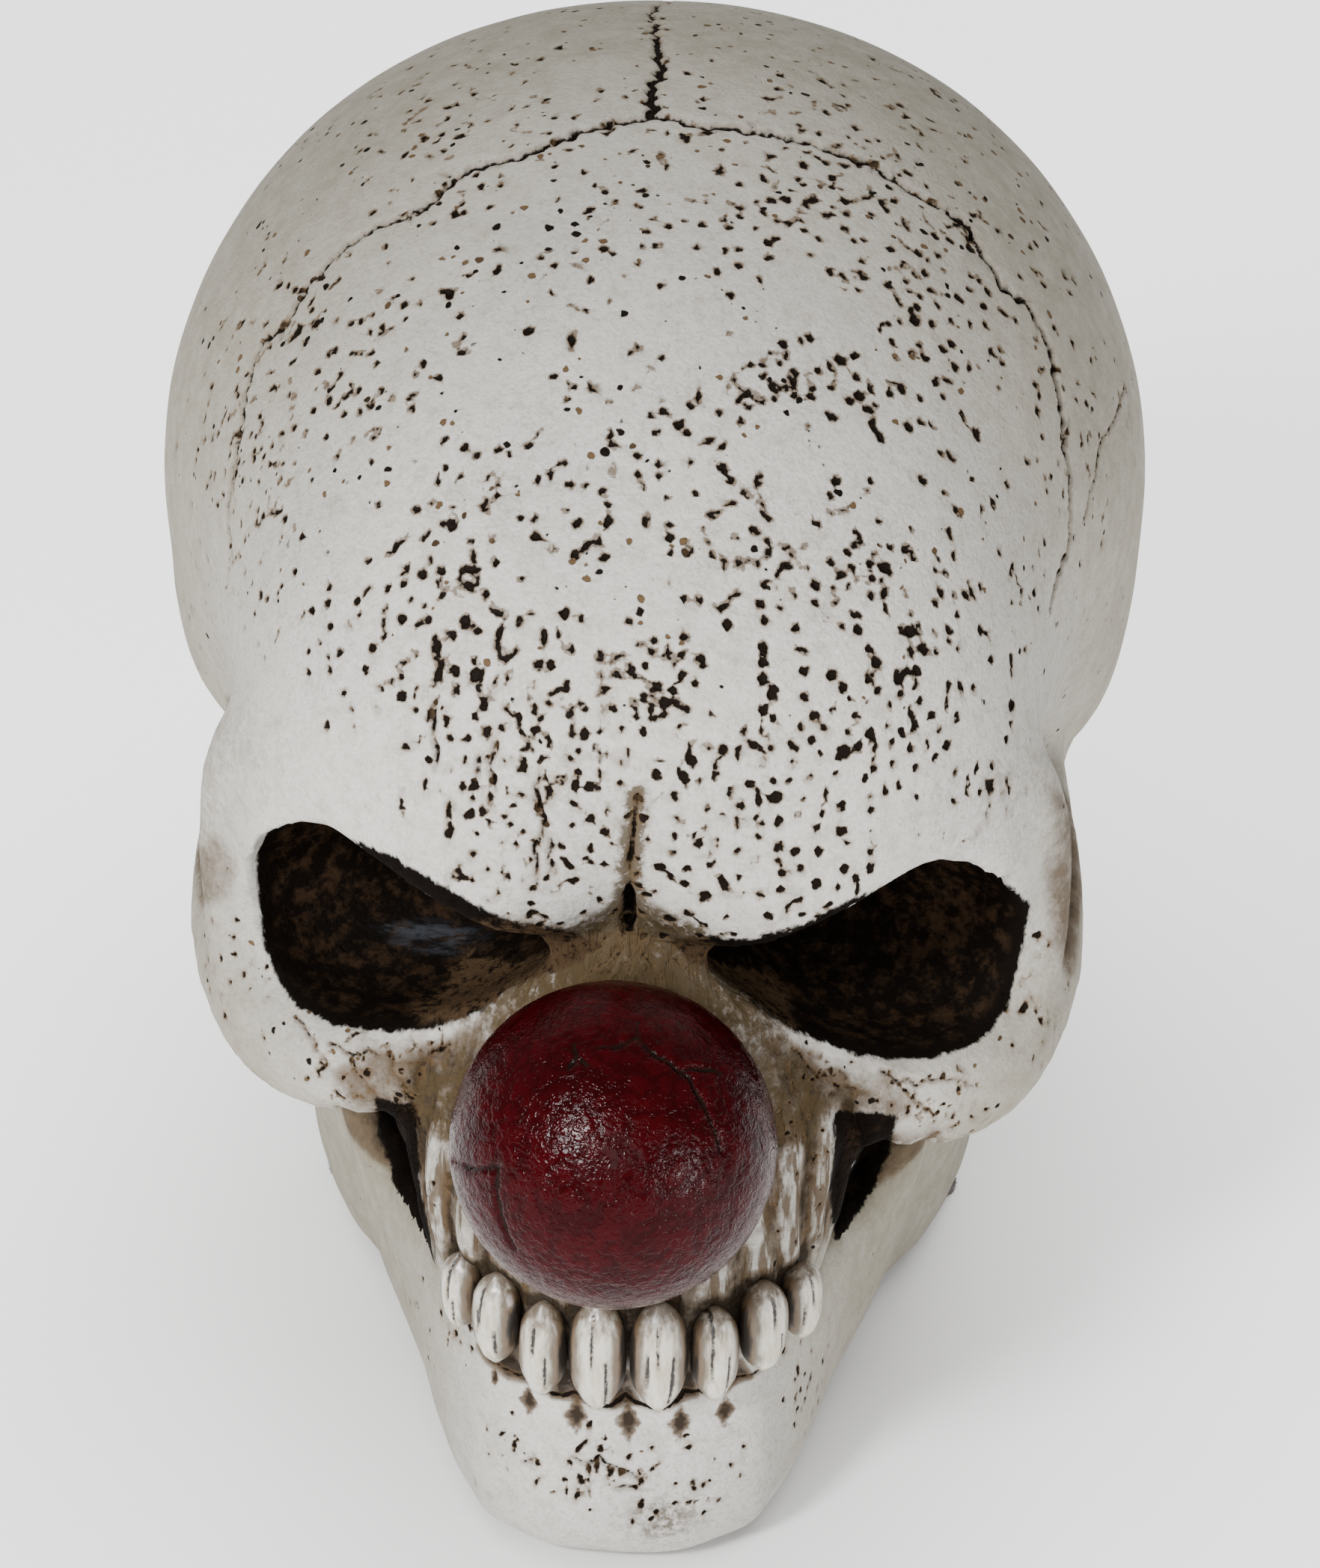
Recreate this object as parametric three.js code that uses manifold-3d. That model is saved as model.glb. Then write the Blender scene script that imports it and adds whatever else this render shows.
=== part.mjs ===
import * as THREE from 'three';
import { mergeVertices } from 'three/addons/utils/BufferGeometryUtils.js';
import Module from 'manifold-3d';

// A clown skull ornament cast in resin: a hollow skull, a lower jaw pinned under it, ten separate
// upper teeth, a ball nose on a dowel, a plug in the pouring hole and three felt pads.
// Lengths are millimetres. The pads stand on z 0, the ear line is y 0 and the face looks along -Y.

const wasm = await Module();
wasm.setup();

// Driving sizes of the skull.
const skull_width = 124;
const crown_height = 157;
const face_reach = 80;
const braincase_front = 77;
const braincase_back = 80;
const braincase_drop = 54;
const casting_wall = 6;

// Driving sizes of the face.
const brow_roll = 10;
const cheek_height = 15;
const cheek_depth = 11;
const socket_depth = 26;
const nose_radius = 18;
const nose_dowel_radius = 3;
const nose_dowel_length = 26;
const cleft_width = 2.6;
const cleft_depth = 6;

// Driving sizes of the teeth.
const tooth_width = 6.3;
const tooth_height = 14.6;
const tooth_depth = 5.6;
const tooth_spacing = 0.6;
const tooth_peg_radius = 1.3;
const tooth_peg_length = 6.5;

// Driving sizes of the jaw and what closes and carries the casting.
const jaw_thickness = 10.4;
const ramus_thickness = 5.6;
const condyle_radius = 5.2;
const jaw_dowel_radius = 2;
const jaw_dowel_length = 15;
const pour_hole_radius = 14;
const plug_flange_radius = 18;
const plug_flange_thickness = 3;
const plug_stem_length = 7;
const pad_thickness = 1.5;
const pad_radius = 2.9;

// Clearances.
const seat_gap = 0.3;
const overrun = 4;

// Places are shares of the half width, the reach of the face and the height of the crown.
const half_width = skull_width / 2;
const place = ([x, y, z], side = 1) =>
  new THREE.Vector3(side * x * half_width, y * face_reach, z * crown_height);

// The brow, the eye sockets and the cheeks sit a little lower on the right, as sculpted by hand.
const face_slant_share = 0.036;
const facePlace = (shares, side) => {
  const p = place(shares, side);
  p.z -= face_slant_share * p.x;
  return p;
};

function closedSolid(geometry) {
  const bare = geometry.clone();
  bare.deleteAttribute('normal');
  bare.deleteAttribute('uv');
  const merged = mergeVertices(bare);
  const made = new wasm.Manifold(new wasm.Mesh({
    numProp: 3,
    vertProperties: new Float32Array(merged.attributes.position.array),
    triVerts: new Uint32Array(merged.index.array),
  }));
  return made;
}

function meshGeometry(solid) {
  const mesh = solid.getMesh();
  const geometry = new THREE.BufferGeometry();
  geometry.setAttribute('position', new THREE.BufferAttribute(new Float32Array(mesh.vertProperties), 3));
  geometry.setIndex(new THREE.BufferAttribute(new Uint32Array(mesh.triVerts), 1));
  geometry.computeVertexNormals();
  return geometry;
}

function joined(solids) {
  return solids.reduce((all, one) => all.add(one));
}

// Skins a row of closed rings, all with the same number of points, and closes both ends.
function loft(rings) {
  const count = rings[0].length;
  const position = [];
  const index = [];
  rings.forEach((ring) => ring.forEach((p) => position.push(p.x, p.y, p.z)));
  for (let i = 0; i < rings.length - 1; i += 1) {
    for (let j = 0; j < count; j += 1) {
      const a = i * count + j;
      const b = i * count + ((j + 1) % count);
      index.push(a, b, b + count, a, b + count, a + count);
    }
  }
  [0, rings.length - 1].forEach((end) => {
    const middle = rings[end].reduce((sum, p) => sum.add(p), new THREE.Vector3()).divideScalar(count);
    const hub = position.length / 3;
    position.push(middle.x, middle.y, middle.z);
    for (let j = 0; j < count; j += 1) {
      const a = end * count + j;
      const b = end * count + ((j + 1) % count);
      if (end === 0) index.push(hub, b, a);
      else index.push(hub, a, b);
    }
  });
  let volume = 0;
  const at = (i) => new THREE.Vector3().fromArray(position, i * 3);
  for (let i = 0; i < index.length; i += 3) {
    volume += at(index[i]).dot(at(index[i + 1]).cross(at(index[i + 2])));
  }
  if (volume < 0) {
    for (let i = 0; i < index.length; i += 3) [index[i], index[i + 1]] = [index[i + 1], index[i]];
  }
  const geometry = new THREE.BufferGeometry();
  geometry.setAttribute('position', new THREE.Float32BufferAttribute(position, 3));
  geometry.setIndex(index);
  return closedSolid(geometry);
}

const power = (value, exponent) => Math.sign(value) * Math.abs(value) ** exponent;

// Sweeps a section along a smooth path without twist. A station holds a place and the section's half
// width and half height. A squareness of 2 makes an oval, more makes it boxier.
function sweep(stations, steps, sides, side, squareness = 2) {
  const path = new THREE.CatmullRomCurve3(stations.map((s) => facePlace(s[0], side)));
  const sizes = new THREE.CatmullRomCurve3(stations.map((s) => new THREE.Vector3(s[1], s[2], 0)));
  const upright_start = Math.abs(path.getTangent(0).z) > 0.9;
  const rise = new THREE.Vector3(0, upright_start ? -1 : 0, upright_start ? 0 : 1);
  const rings = [];
  for (let i = 0; i <= steps; i += 1) {
    const middle = path.getPoint(i / steps);
    const size = sizes.getPoint(i / steps);
    const along = path.getTangent(i / steps);
    rise.addScaledVector(along, -rise.dot(along)).normalize();
    const across = along.clone().cross(rise).multiplyScalar(side);
    const ring = [];
    for (let j = 0; j < sides; j += 1) {
      const turn = ((j + 0.5) / sides) * 2 * Math.PI;
      ring.push(middle.clone()
        .addScaledVector(across, power(Math.cos(turn), 2 / squareness) * size.x)
        .addScaledVector(rise, power(Math.sin(turn), 2 / squareness) * size.y));
    }
    rings.push(ring);
  }
  return loft(rings);
}

const eased = (low, high, value) => {
  const t = Math.min(Math.max((value - low) / (high - low), 0), 1);
  return t * t * (3 - 2 * t);
};

const hump = (value, middle, reach) => Math.exp(-(((value - middle) / reach) ** 2));

function turnedSolid(profile, sides, middle, matrix = new THREE.Matrix4()) {
  const geometry = new THREE.LatheGeometry(profile.map(([r, h]) => new THREE.Vector2(r, h)), sides);
  geometry.rotateX(Math.PI / 2);
  geometry.applyMatrix4(matrix);
  geometry.translate(middle.x, middle.y, middle.z);
  return closedSolid(geometry);
}

// The braincase is an egg, rounder above its widest line and squarer below it, whose base rises
// towards the face. Soft pushes raise or sink areas of it.
const braincase_middle_share = [0, 0.1, 0.611];
const round_power_share = 2.06;
const square_power_share = 3;
const base_front_share = 0.44;
const base_rise_shares = [-0.31, 0.4];
const brow_retreat_share = 0.3;
const push_shares = [
  // place, reach, push
  [[0.952, -0.3, 0.535], 0.43, -0.15],
  [[0.419, -0.75, 0.815], 0.4, 0.022],
  [[0.742, 0.425, 0.879], 0.55, 0.022],
  [[0, 1.125, 0.573], 0.5, 0.045],
  [[0.806, -0.45, 0.713], 0.3, -0.025],
  [[0.29, -0.825, 0.669], 0.37, 0.072],
  [[0.581, -0.675, 0.675], 0.3, 0.05],
  [[0, -0.875, 0.682], 0.22, 0.03],
];

function braincase(inset, around, down) {
  const geometry = new THREE.SphereGeometry(1, around, down);
  geometry.rotateX(Math.PI / 2);
  const middle = place(braincase_middle_share);
  const crown = crown_height - middle.z - inset;
  const spots = geometry.attributes.position;
  const p = new THREE.Vector3();
  for (let i = 0; i < spots.count; i += 1) {
    p.fromBufferAttribute(spots, i);
    const low = eased(0, 0.5, -p.z);
    const n = round_power_share + (square_power_share - round_power_share) * low;
    const f = (Math.abs(p.x) ** n + Math.abs(p.y) ** n + Math.abs(p.z) ** n) ** (-1 / n);
    const forward = (braincase_front - inset) * (1 - brow_retreat_share * low);
    const y = middle.y + f * p.y * (p.y < 0 ? forward : braincase_back - inset);
    const ease = eased(base_rise_shares[0] * face_reach, base_rise_shares[1] * face_reach, y);
    const drop = (braincase_drop - inset) * (base_front_share + (1 - base_front_share) * ease);
    p.set(f * p.x * (half_width - inset), y, middle.z + f * p.z * (p.z > 0 ? crown : drop));
    const out = p.clone().sub(middle).normalize();
    let push = 0;
    push_shares.forEach(([where, reach, much]) => {
      [1, -1].forEach((side) => {
        if (where[0] === 0 && side < 0) return;
        const far = p.distanceTo(place(where, side)) / (reach * half_width);
        push += much * half_width * Math.exp(-far * far);
      });
    });
    p.addScaledVector(out, push);
    spots.setXYZ(i, p.x, p.y, p.z);
  }
  return closedSolid(geometry);
}

// Brow rolls: from the cleft over the nose they run outwards and turn down as the outer rim of the
// eye socket into the cheekbone.
const brow_shares = [
  [[0.01, -0.775, 0.618], 0.42, 0.42],
  [[0.039, -0.787, 0.611], 0.74, 0.74],
  [[0.097, -0.8, 0.605], 0.93, 0.95],
  [[0.21, -0.807, 0.601], 1, 1],
  [[0.339, -0.77, 0.619], 1, 1],
  [[0.484, -0.688, 0.639], 0.92, 0.95],
  [[0.605, -0.6, 0.627], 0.8, 0.84],
  [[0.694, -0.544, 0.582], 0.64, 0.66],
  [[0.745, -0.512, 0.522], 0.5, 0.46],
  [[0.742, -0.531, 0.459], 0.5, 0.46],
  [[0.702, -0.575, 0.395], 0.5, 0.46],
];

// Cheekbone and arch: from the upper jaw outwards, round the cheek and back to the ear.
const cheek_shares = [
  [[0.242, -0.662, 0.395], 0.5, 0.44],
  [[0.403, -0.713, 0.386], 0.54, 0.42],
  [[0.532, -0.685, 0.376], 0.54, 0.46],
  [[0.645, -0.63, 0.372], 0.52, 0.52],
  [[0.732, -0.562, 0.385], 0.42, 0.47],
  [[0.806, -0.45, 0.408], 0.27, 0.36],
  [[0.823, -0.3, 0.429], 0.22, 0.28],
  [[0.806, -0.125, 0.446], 0.23, 0.28],
  [[0.774, 0.05, 0.462], 0.3, 0.34],
  [[0.71, 0.188, 0.478], 0.42, 0.42],
];

// Middle of the face behind the brow and the cheekbones, which the eye sockets are sunk into.
const mid_face_shares = [
  // height, half width, front
  [0.363, 0.548, -0.75],
  [0.389, 0.677, -0.762],
  [0.42, 0.718, -0.775],
  [0.465, 0.732, -0.8],
  [0.516, 0.742, -0.825],
  [0.567, 0.748, -0.845],
  [0.611, 0.739, -0.863],
  [0.656, 0.685, -0.856],
  [0.701, 0.581, -0.812],
];
const mid_face_widest_share = -0.55;
const mid_face_back_share = -0.175;
const mid_face_power_shares = [2.2, 1.2];

function midFace(sides) {
  const widest = mid_face_widest_share * face_reach;
  const back = mid_face_back_share * face_reach;
  return loft(mid_face_shares.map(([high, wide, front]) => {
    const ring = [];
    for (let j = 0; j < sides; j += 1) {
      const turn = ((j + 0.5) / sides) * 2 * Math.PI;
      const n = mid_face_power_shares[Math.sin(turn) < 0 ? 0 : 1];
      const y = power(Math.sin(turn), 2 / n);
      ring.push(new THREE.Vector3(power(Math.cos(turn), 2 / n) * wide * half_width,
        widest + y * (y < 0 ? widest - front * face_reach : back - widest), high * crown_height));
    }
    return ring;
  }));
}

// The cleft between the brow rolls.
const cleft_shares = [
  [[0, -0.906, 0.529], 0.5, 0.5],
  [[0, -0.925, 0.586], 0.5, 0.5],
  [[0, -0.918, 0.637], 0.35, 0.42],
  [[0, -0.9, 0.701], 0.05, 0.1],
];

// Level at which the two jaws meet.
const bite_share = 0.21;

// Upper jaw and nose bridge: level, half width and how far forward, with one back line.
const upper_jaw_shares = [
  // height, half width, front
  [0.599, 0.194, -0.8],
  [0.561, 0.153, -0.838],
  [0.522, 0.153, -0.881],
  [0.484, 0.21, -0.9],
  [0.446, 0.306, -0.894],
  [0.408, 0.403, -0.887],
  [0.363, 0.445, -0.906],
  [0.318, 0.432, -0.938],
  [0.28, 0.413, -0.957],
  [0.242, 0.397, -0.965],
  [bite_share, 0.387, -0.963],
];
const upper_jaw_widest_share = -0.637;
const upper_jaw_back_share = -0.3;
const arch_power_share = 2.1;

function archPoint(turn, wide, front) {
  const widest = upper_jaw_widest_share * face_reach;
  const back = upper_jaw_back_share * face_reach;
  const y = power(Math.sin(turn), 2 / arch_power_share);
  return [power(Math.cos(turn), 2 / arch_power_share) * wide,
    widest + y * (y < 0 ? widest - front : back - widest)];
}

function upperJaw(sides) {
  return loft(upper_jaw_shares.map(([high, wide, front]) => {
    const ring = [];
    for (let j = 0; j < sides; j += 1) {
      const [x, y] = archPoint(((j + 0.5) / sides) * 2 * Math.PI, wide * half_width, front * face_reach);
      ring.push(new THREE.Vector3(x, y, high * crown_height));
    }
    return ring;
  }));
}

// Flank of the upper jaw behind the teeth, which fills the room up to the jaw's branch.
const flank_shares = [
  // height, inner and outer side, front, back
  [0.389, 0.194, 0.5, -0.588, -0.35],
  [0.318, 0.194, 0.484, -0.575, -0.338],
  [0.258, 0.194, 0.461, -0.581, -0.338],
  [bite_share, 0.194, 0.403, -0.6, -0.338],
];
const flank_power_share = 3;

function upperJawFlank(side) {
  return loft(flank_shares.map(([high, inner, outer, front, back]) => {
    const ring = [];
    for (let j = 0; j < 14; j += 1) {
      const turn = ((j + 0.5) / 14) * 2 * Math.PI;
      const x = (inner + outer + power(Math.cos(turn), 2 / flank_power_share) * (outer - inner)) / 2;
      const y = (front + back + power(Math.sin(turn), 2 / flank_power_share) * (back - front)) / 2;
      ring.push(new THREE.Vector3(x * half_width * side, y * face_reach, high * crown_height));
    }
    return ring;
  }));
}

// Eye sockets: the rim, narrowed towards a point behind the nose.
const rim_shares = [
  [0.153, -0.825, 0.522], [0.202, -0.85, 0.548], [0.282, -0.863, 0.563], [0.355, -0.838, 0.577],
  [0.452, -0.787, 0.59], [0.532, -0.75, 0.594], [0.613, -0.688, 0.58], [0.674, -0.625, 0.55],
  [0.7, -0.588, 0.51], [0.694, -0.6, 0.462], [0.645, -0.65, 0.427], [0.524, -0.7, 0.417],
  [0.387, -0.75, 0.431], [0.284, -0.775, 0.455], [0.213, -0.8, 0.482], [0.158, -0.825, 0.503],
];
const socket_point_share = [0.21, -0.425, 0.497];
// How far in, how wide.
const socket_steps_shares = [[-0.62, 1.1], [0, 1], [0.3, 0.98], [0.62, 0.76], [0.88, 0.46], [1, 0.2]];

function eyeSocket(side) {
  const rim = rim_shares.map((s) => facePlace(s, side));
  const middle = rim.reduce((sum, p) => sum.add(p), new THREE.Vector3()).divideScalar(rim.length);
  const inward = place(socket_point_share, side).sub(middle).normalize().multiplyScalar(socket_depth);
  return loft(socket_steps_shares.map(([deep, wide]) => rim.map((p) => {
    const flat = p.clone().sub(middle);
    flat.y *= Math.max(1 - deep, 0);
    flat.multiplyScalar(wide);
    const forward = new THREE.Vector3(0, deep * socket_depth, 0);
    const step = deep < 0 ? forward : inward.clone().multiplyScalar(deep);
    return middle.clone().add(flat).add(step);
  })));
}

// Bumps behind the ears.
const mastoid_shares = [
  [[0.726, 0.212, 0.42], 0.9, 0.9],
  [[0.718, 0.212, 0.344], 0.75, 0.9],
  [[0.685, 0.194, 0.28], 0.5, 0.6],
  [[0.661, 0.181, 0.255], 0.16, 0.2],
];

const scaled = (rows, across, high) => rows.map(([where, a, b]) => [where, a * across, b * high]);

function mirroredPair(make) {
  return [make(1), make(-1)];
}

// Seat of the jaw: a flat boss under the skull over each condyle, with a bore for the dowel.
const joint_share = [0.694, 0.037, 0.376];
const joint = (side) => place(joint_share, side);
const boss_radius = condyle_radius + seat_gap;

function upright(radius, low, high, x, y, sides) {
  const profile = [[0, low], [radius, low], [radius, high], [0, high]];
  return turnedSolid(profile, sides, new THREE.Vector3(x, y, 0));
}

// Ball nose and its dowel, square to the face.
const nose_share = [-0.011, -1.075, 0.45];
const nose = place(nose_share);
const facing = new THREE.Matrix4().makeRotationX(Math.PI / 2);

function ball(radius, around, down) {
  const geometry = new THREE.SphereGeometry(radius, around, down);
  geometry.translate(nose.x, nose.y, nose.z);
  return closedSolid(geometry);
}

function noseDowel(radius, length, sides) {
  const back = nose.y + nose_radius + nose_dowel_length / 2;
  return turnedSolid([[0, -length / 2], [radius, -length / 2], [radius, length / 2], [0, length / 2]], sides,
    new THREE.Vector3(nose.x, back - nose_dowel_length / 2, nose.z), facing);
}

// Teeth along the arch of the upper jaw. Each has an almond crown and a peg into the bone.
const tooth_names = ['central_incisor', 'lateral_incisor', 'canine', 'first_premolar'];
const tooth_size_shares = [
  // width, height, depth
  [1, 1, 1],
  [0.86, 0.84, 0.94],
  [0.94, 0.8, 0.94],
  [0.84, 0.66, 0.84],
];
const tooth_tip_share = 0.179;
const tooth_lift_shares = [0, 0.04, 0.18, 0.28];
const crown_middle_share = 0.06;
const tooth_row_shift_share = 0.016;

const arch_line = [];
{
  const [, wide, front] = upper_jaw_shares[upper_jaw_shares.length - 2];
  const steps = 400;
  let run = 0;
  let last = null;
  for (let i = 0; i <= steps; i += 1) {
    const turn = -Math.PI / 2 + (i / steps) * (Math.PI / 2);
    const [x, y] = archPoint(turn, wide * half_width, front * face_reach);
    if (last) run += Math.hypot(x - last[0], y - last[1]);
    last = [x, y];
    arch_line.push([run, x, y]);
  }
}

function onArch(run) {
  const at = arch_line.findIndex((row) => row[0] >= run);
  const i = Math.max(at, 1);
  const [a, b] = [arch_line[i - 1], arch_line[i]];
  const t = (run - a[0]) / (b[0] - a[0]);
  const along = new THREE.Vector3(b[1] - a[1], b[2] - a[2], 0).normalize();
  return {
    spot: new THREE.Vector3(a[1] + (b[1] - a[1]) * t, a[2] + (b[2] - a[2]) * t, 0),
    out: new THREE.Vector3(-along.y, along.x, 0).negate(),
    along,
  };
}

const teeth = [];
{
  let run = tooth_spacing / 2;
  tooth_size_shares.forEach(([wide, high, deep], i) => {
    const width = wide * tooth_width;
    const place_on = onArch(run + width / 2);
    teeth.push({
      name: tooth_names[i], width, height: high * tooth_height, depth: deep * tooth_depth,
      tip: tooth_tip_share * crown_height + tooth_lift_shares[i] * tooth_height, ...place_on,
    });
    run += width + tooth_spacing;
  });
}

function tooth(t, side, grow, rings_count, sides) {
  const mirror = (v) => new THREE.Vector3(v.x * side, v.y, v.z);
  const out = mirror(t.out);
  const along = mirror(t.along);
  const middle = mirror(t.spot).addScaledVector(out, crown_middle_share * tooth_depth);
  middle.x += tooth_row_shift_share * half_width;
  const rings = [];
  for (let i = 0; i <= rings_count; i += 1) {
    const u = -1 + (2 * i) / rings_count;
    const full = Math.max(1 - Math.abs(u) ** 3, 0) ** 0.56;
    const level = t.tip + (t.height / 2) * (1 + u) + grow * u;
    const a = (t.width / 2) * Math.max(full, 0.16) + grow;
    const b = (t.depth / 2) * Math.max(full, 0.2) + grow;
    const ring = [];
    for (let j = 0; j < sides; j += 1) {
      const turn = (j / sides) * 2 * Math.PI;
      const p = middle.clone()
        .addScaledVector(along, Math.cos(turn) * a)
        .addScaledVector(out, Math.sin(turn) * b);
      p.z = level;
      ring.push(p);
    }
    rings.push(ring);
  }
  const crown = loft(rings);
  const stem_level = t.tip + t.height * 0.62;
  const stem = new THREE.CylinderGeometry(tooth_peg_radius + grow, tooth_peg_radius + grow,
    tooth_peg_length + grow, 8);
  stem.translate(0, (tooth_peg_length + grow) / 2, 0);
  stem.applyQuaternion(new THREE.Quaternion().setFromUnitVectors(
    new THREE.Vector3(0, 1, 0), out.clone().negate()));
  stem.translate(middle.x, middle.y, stem_level);
  return crown.add(closedSolid(stem));
}

// Lower jaw: upright sections along a V-shaped path from the chin to the jaw angle. Each row: outer
// line below, outer line above, lower edge over the pads, upper edge, thickness, squareness below.
const jaw_body_shares = [
  [[0, -0.943], [0, -0.95], -0.008, bite_share, 1, 2.5],
  [[0.145, -0.935], [0.129, -0.94], -0.006, bite_share, 1, 2.5],
  [[0.281, -0.887], [0.255, -0.885], 0.001, bite_share, 0.98, 2.5],
  [[0.342, -0.8], [0.339, -0.794], 0.009, bite_share, 0.94, 2.5],
  [[0.377, -0.706], [0.39, -0.688], 0.01, bite_share, 0.88, 2.5],
  [[0.406, -0.588], [0.442, -0.588], 0.01, 0.209, 0.78, 2.5],
  [[0.445, -0.481], [0.503, -0.487], 0.011, 0.203, 0.66, 2.5],
];
const ramus_shares = [
  [[0.484, -0.381], [0.597, -0.388], 0.011, 0.255, 1.08, 2.5],
  [[0.519, -0.287], [0.668, -0.3], 0.01, 0.363, 1, 2.5],
  [[0.6, -0.175], [0.719, -0.175], 0.006, 0.312, 1, 2.5],
  [[0.645, -0.069], [0.729, -0.075], 0.001, 0.299, 1.22, 3.6],
  [[0.684, 0.025], [0.742, 0.019], 0, 0.344, 1.45, 4],
  [[0.703, 0.119], [0.752, 0.094], 0, 0.318, 1.45, 4],
  [[0.71, 0.163], [0.755, 0.125], 0.011, 0.28, 1.04, 3],
];
const upper_edge_power_share = 3.6;
const chin_shares = [0.26, 0.17];

function jawRow([below, above, low, high, thick, square], thickness, side) {
  return {
    below: [...below, 0], above: [...above, 0], low, high, square, side, thickness: thick * thickness,
  };
}

// A grow above zero gives the room that the same stretch of the jaw takes up in the skull.
function jawLoft(rows, grow, sides) {
  const rings = rows.map((row, i) => {
    const before = rows[Math.max(i - 1, 0)];
    const after = rows[Math.min(i + 1, rows.length - 1)];
    const line = (r, rise) => place(r.below, r.side).lerp(place(r.above, r.side), rise);
    const ring = [];
    for (let j = 0; j < sides; j += 1) {
      const turn = ((j + 0.5) / sides) * 2 * Math.PI;
      const n = Math.sin(turn) < 0 ? row.square : upper_edge_power_share;
      const across = power(Math.cos(turn), 2 / n);
      const rise = 0.5 + 0.5 * power(Math.sin(turn), 2 / n);
      const outer = line(row, rise);
      const along = line(after, rise).sub(line(before, rise)).normalize();
      const inward = new THREE.Vector3(-along.y, along.x, 0);
      const chin = hump(rise, chin_shares[0], 0.16) * 0.6 - hump(rise, 0.68, 0.2) * 0.9;
      const front = hump(outer.x, 0, chin_shares[1] * half_width) * Math.max(across, 0);
      const p = outer.clone().addScaledVector(inward, (row.thickness / 2) * (1 - across) - grow * across);
      p.addScaledVector(inward, -chin * front * (row.thickness * chin_shares[1]));
      if (i === 0) p.addScaledVector(along, -grow);
      if (i === rows.length - 1) p.addScaledVector(along, grow);
      const low = pad_thickness + seat_gap + row.low * crown_height - grow;
      const high = row.high * crown_height - seat_gap + grow;
      p.z = low + (high - low) * rise;
      ring.push(p);
    }
    return ring;
  });
  return loft(rings);
}

function lowerJawBody(sides) {
  const half = (side) => [
    ...jaw_body_shares.map((row) => jawRow(row, jaw_thickness, side)),
    ...ramus_shares.map((row) => jawRow(row, ramus_thickness, side)),
  ];
  return jawLoft([...half(-1).slice(1).reverse(), ...half(1)], 0, sides);
}

function ramusRoom(side, sides) {
  const rows = ramus_shares.slice(1).map((row) => jawRow(row, ramus_thickness, side));
  return jawLoft(side > 0 ? rows : rows.reverse(), seat_gap, sides);
}

function condyle(side) {
  const seat = joint(side);
  const geometry = new THREE.SphereGeometry(1, 16, 10);
  geometry.rotateX(Math.PI / 2);
  geometry.scale(condyle_radius, condyle_radius * 0.8, condyle_radius);
  geometry.translate(seat.x, seat.y, seat.z - condyle_radius);
  return closedSolid(geometry);
}

// The solid face block that the hollow of the braincase stays clear of, seen from the side.
const face_block_shares = [
  [-1.2, 0.643], [-0.45, 0.643], [-0.3, 0.561], [-0.15, 0.49], [0.15, 0.465],
  [0.2, 0.382], [0.2, 0.064], [-1.2, 0.064],
];

function faceBlock() {
  const shape = new THREE.Shape(face_block_shares.map(([y, z]) =>
    new THREE.Vector2(y * face_reach, z * crown_height)));
  const geometry = new THREE.ExtrudeGeometry(shape, { depth: skull_width, bevelEnabled: false });
  geometry.translate(0, 0, -skull_width / 2);
  geometry.applyMatrix4(new THREE.Matrix4().set(0, 0, 1, 0, 1, 0, 0, 0, 0, 1, 0, 0, 0, 0, 0, 1));
  return closedSolid(geometry);
}

// Pouring hole in the base, with a flat seat for the flange of the plug.
const pour_share = [0, 0.425, 0.293];
const pour = place(pour_share);

function skullShell() {
  const outside = joined([
    braincase(0, 42, 27),
    midFace(36),
    ...mirroredPair((side) => sweep(scaled(brow_shares, brow_roll, brow_roll), 20, 12, side)),
    ...mirroredPair((side) => sweep(scaled(cheek_shares, cheek_depth, cheek_height), 16, 12, side, 2.6)),
    upperJaw(32),
    ...mirroredPair(upperJawFlank),
    ...mirroredPair((side) => sweep(scaled(mastoid_shares, brow_roll, brow_roll), 6, 12, side)),
    ...mirroredPair((side) => upright(boss_radius, joint(side).z + seat_gap, joint(side).z + cheek_height,
      joint(side).x, joint(side).y, 16)),
  ]);
  const cuts = joined([
    braincase(casting_wall, 24, 16).subtract(faceBlock()),
    ...mirroredPair(eyeSocket),
    ball(nose_radius + seat_gap, 26, 18),
    sweep(scaled(cleft_shares, cleft_width, cleft_depth), 6, 6, 1),
    noseDowel(nose_dowel_radius + seat_gap, nose_dowel_length + 2 * seat_gap, 16),
    upright(pour_hole_radius, pour.z - overrun, pour.z + plug_stem_length + overrun, pour.x, pour.y, 28),
    upright(plug_flange_radius + seat_gap, 0, pour.z, pour.x, pour.y, 28),
    ...mirroredPair((side) => jawDowel(side, seat_gap, 12)),
    ...mirroredPair((side) => ramusRoom(side, 16)),
    ...teeth.flatMap((t) => mirroredPair((side) => tooth(t, side, seat_gap, 6, 8))),
  ]);
  return outside.subtract(cuts);
}

function jawDowel(side, grow, sides) {
  const seat = joint(side);
  return upright(jaw_dowel_radius + grow, seat.z - jaw_dowel_length / 2 - grow,
    seat.z + jaw_dowel_length / 2 + grow, seat.x, seat.y, sides);
}

// Felt pads under the jaw angles, and one let into the underside of the chin.
const pad_shares = { chin: [0, -0.843], jaw_angle: [0.623, 0.068] };
const pad_places = (where) => [where[0], where[1], 0];

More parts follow.
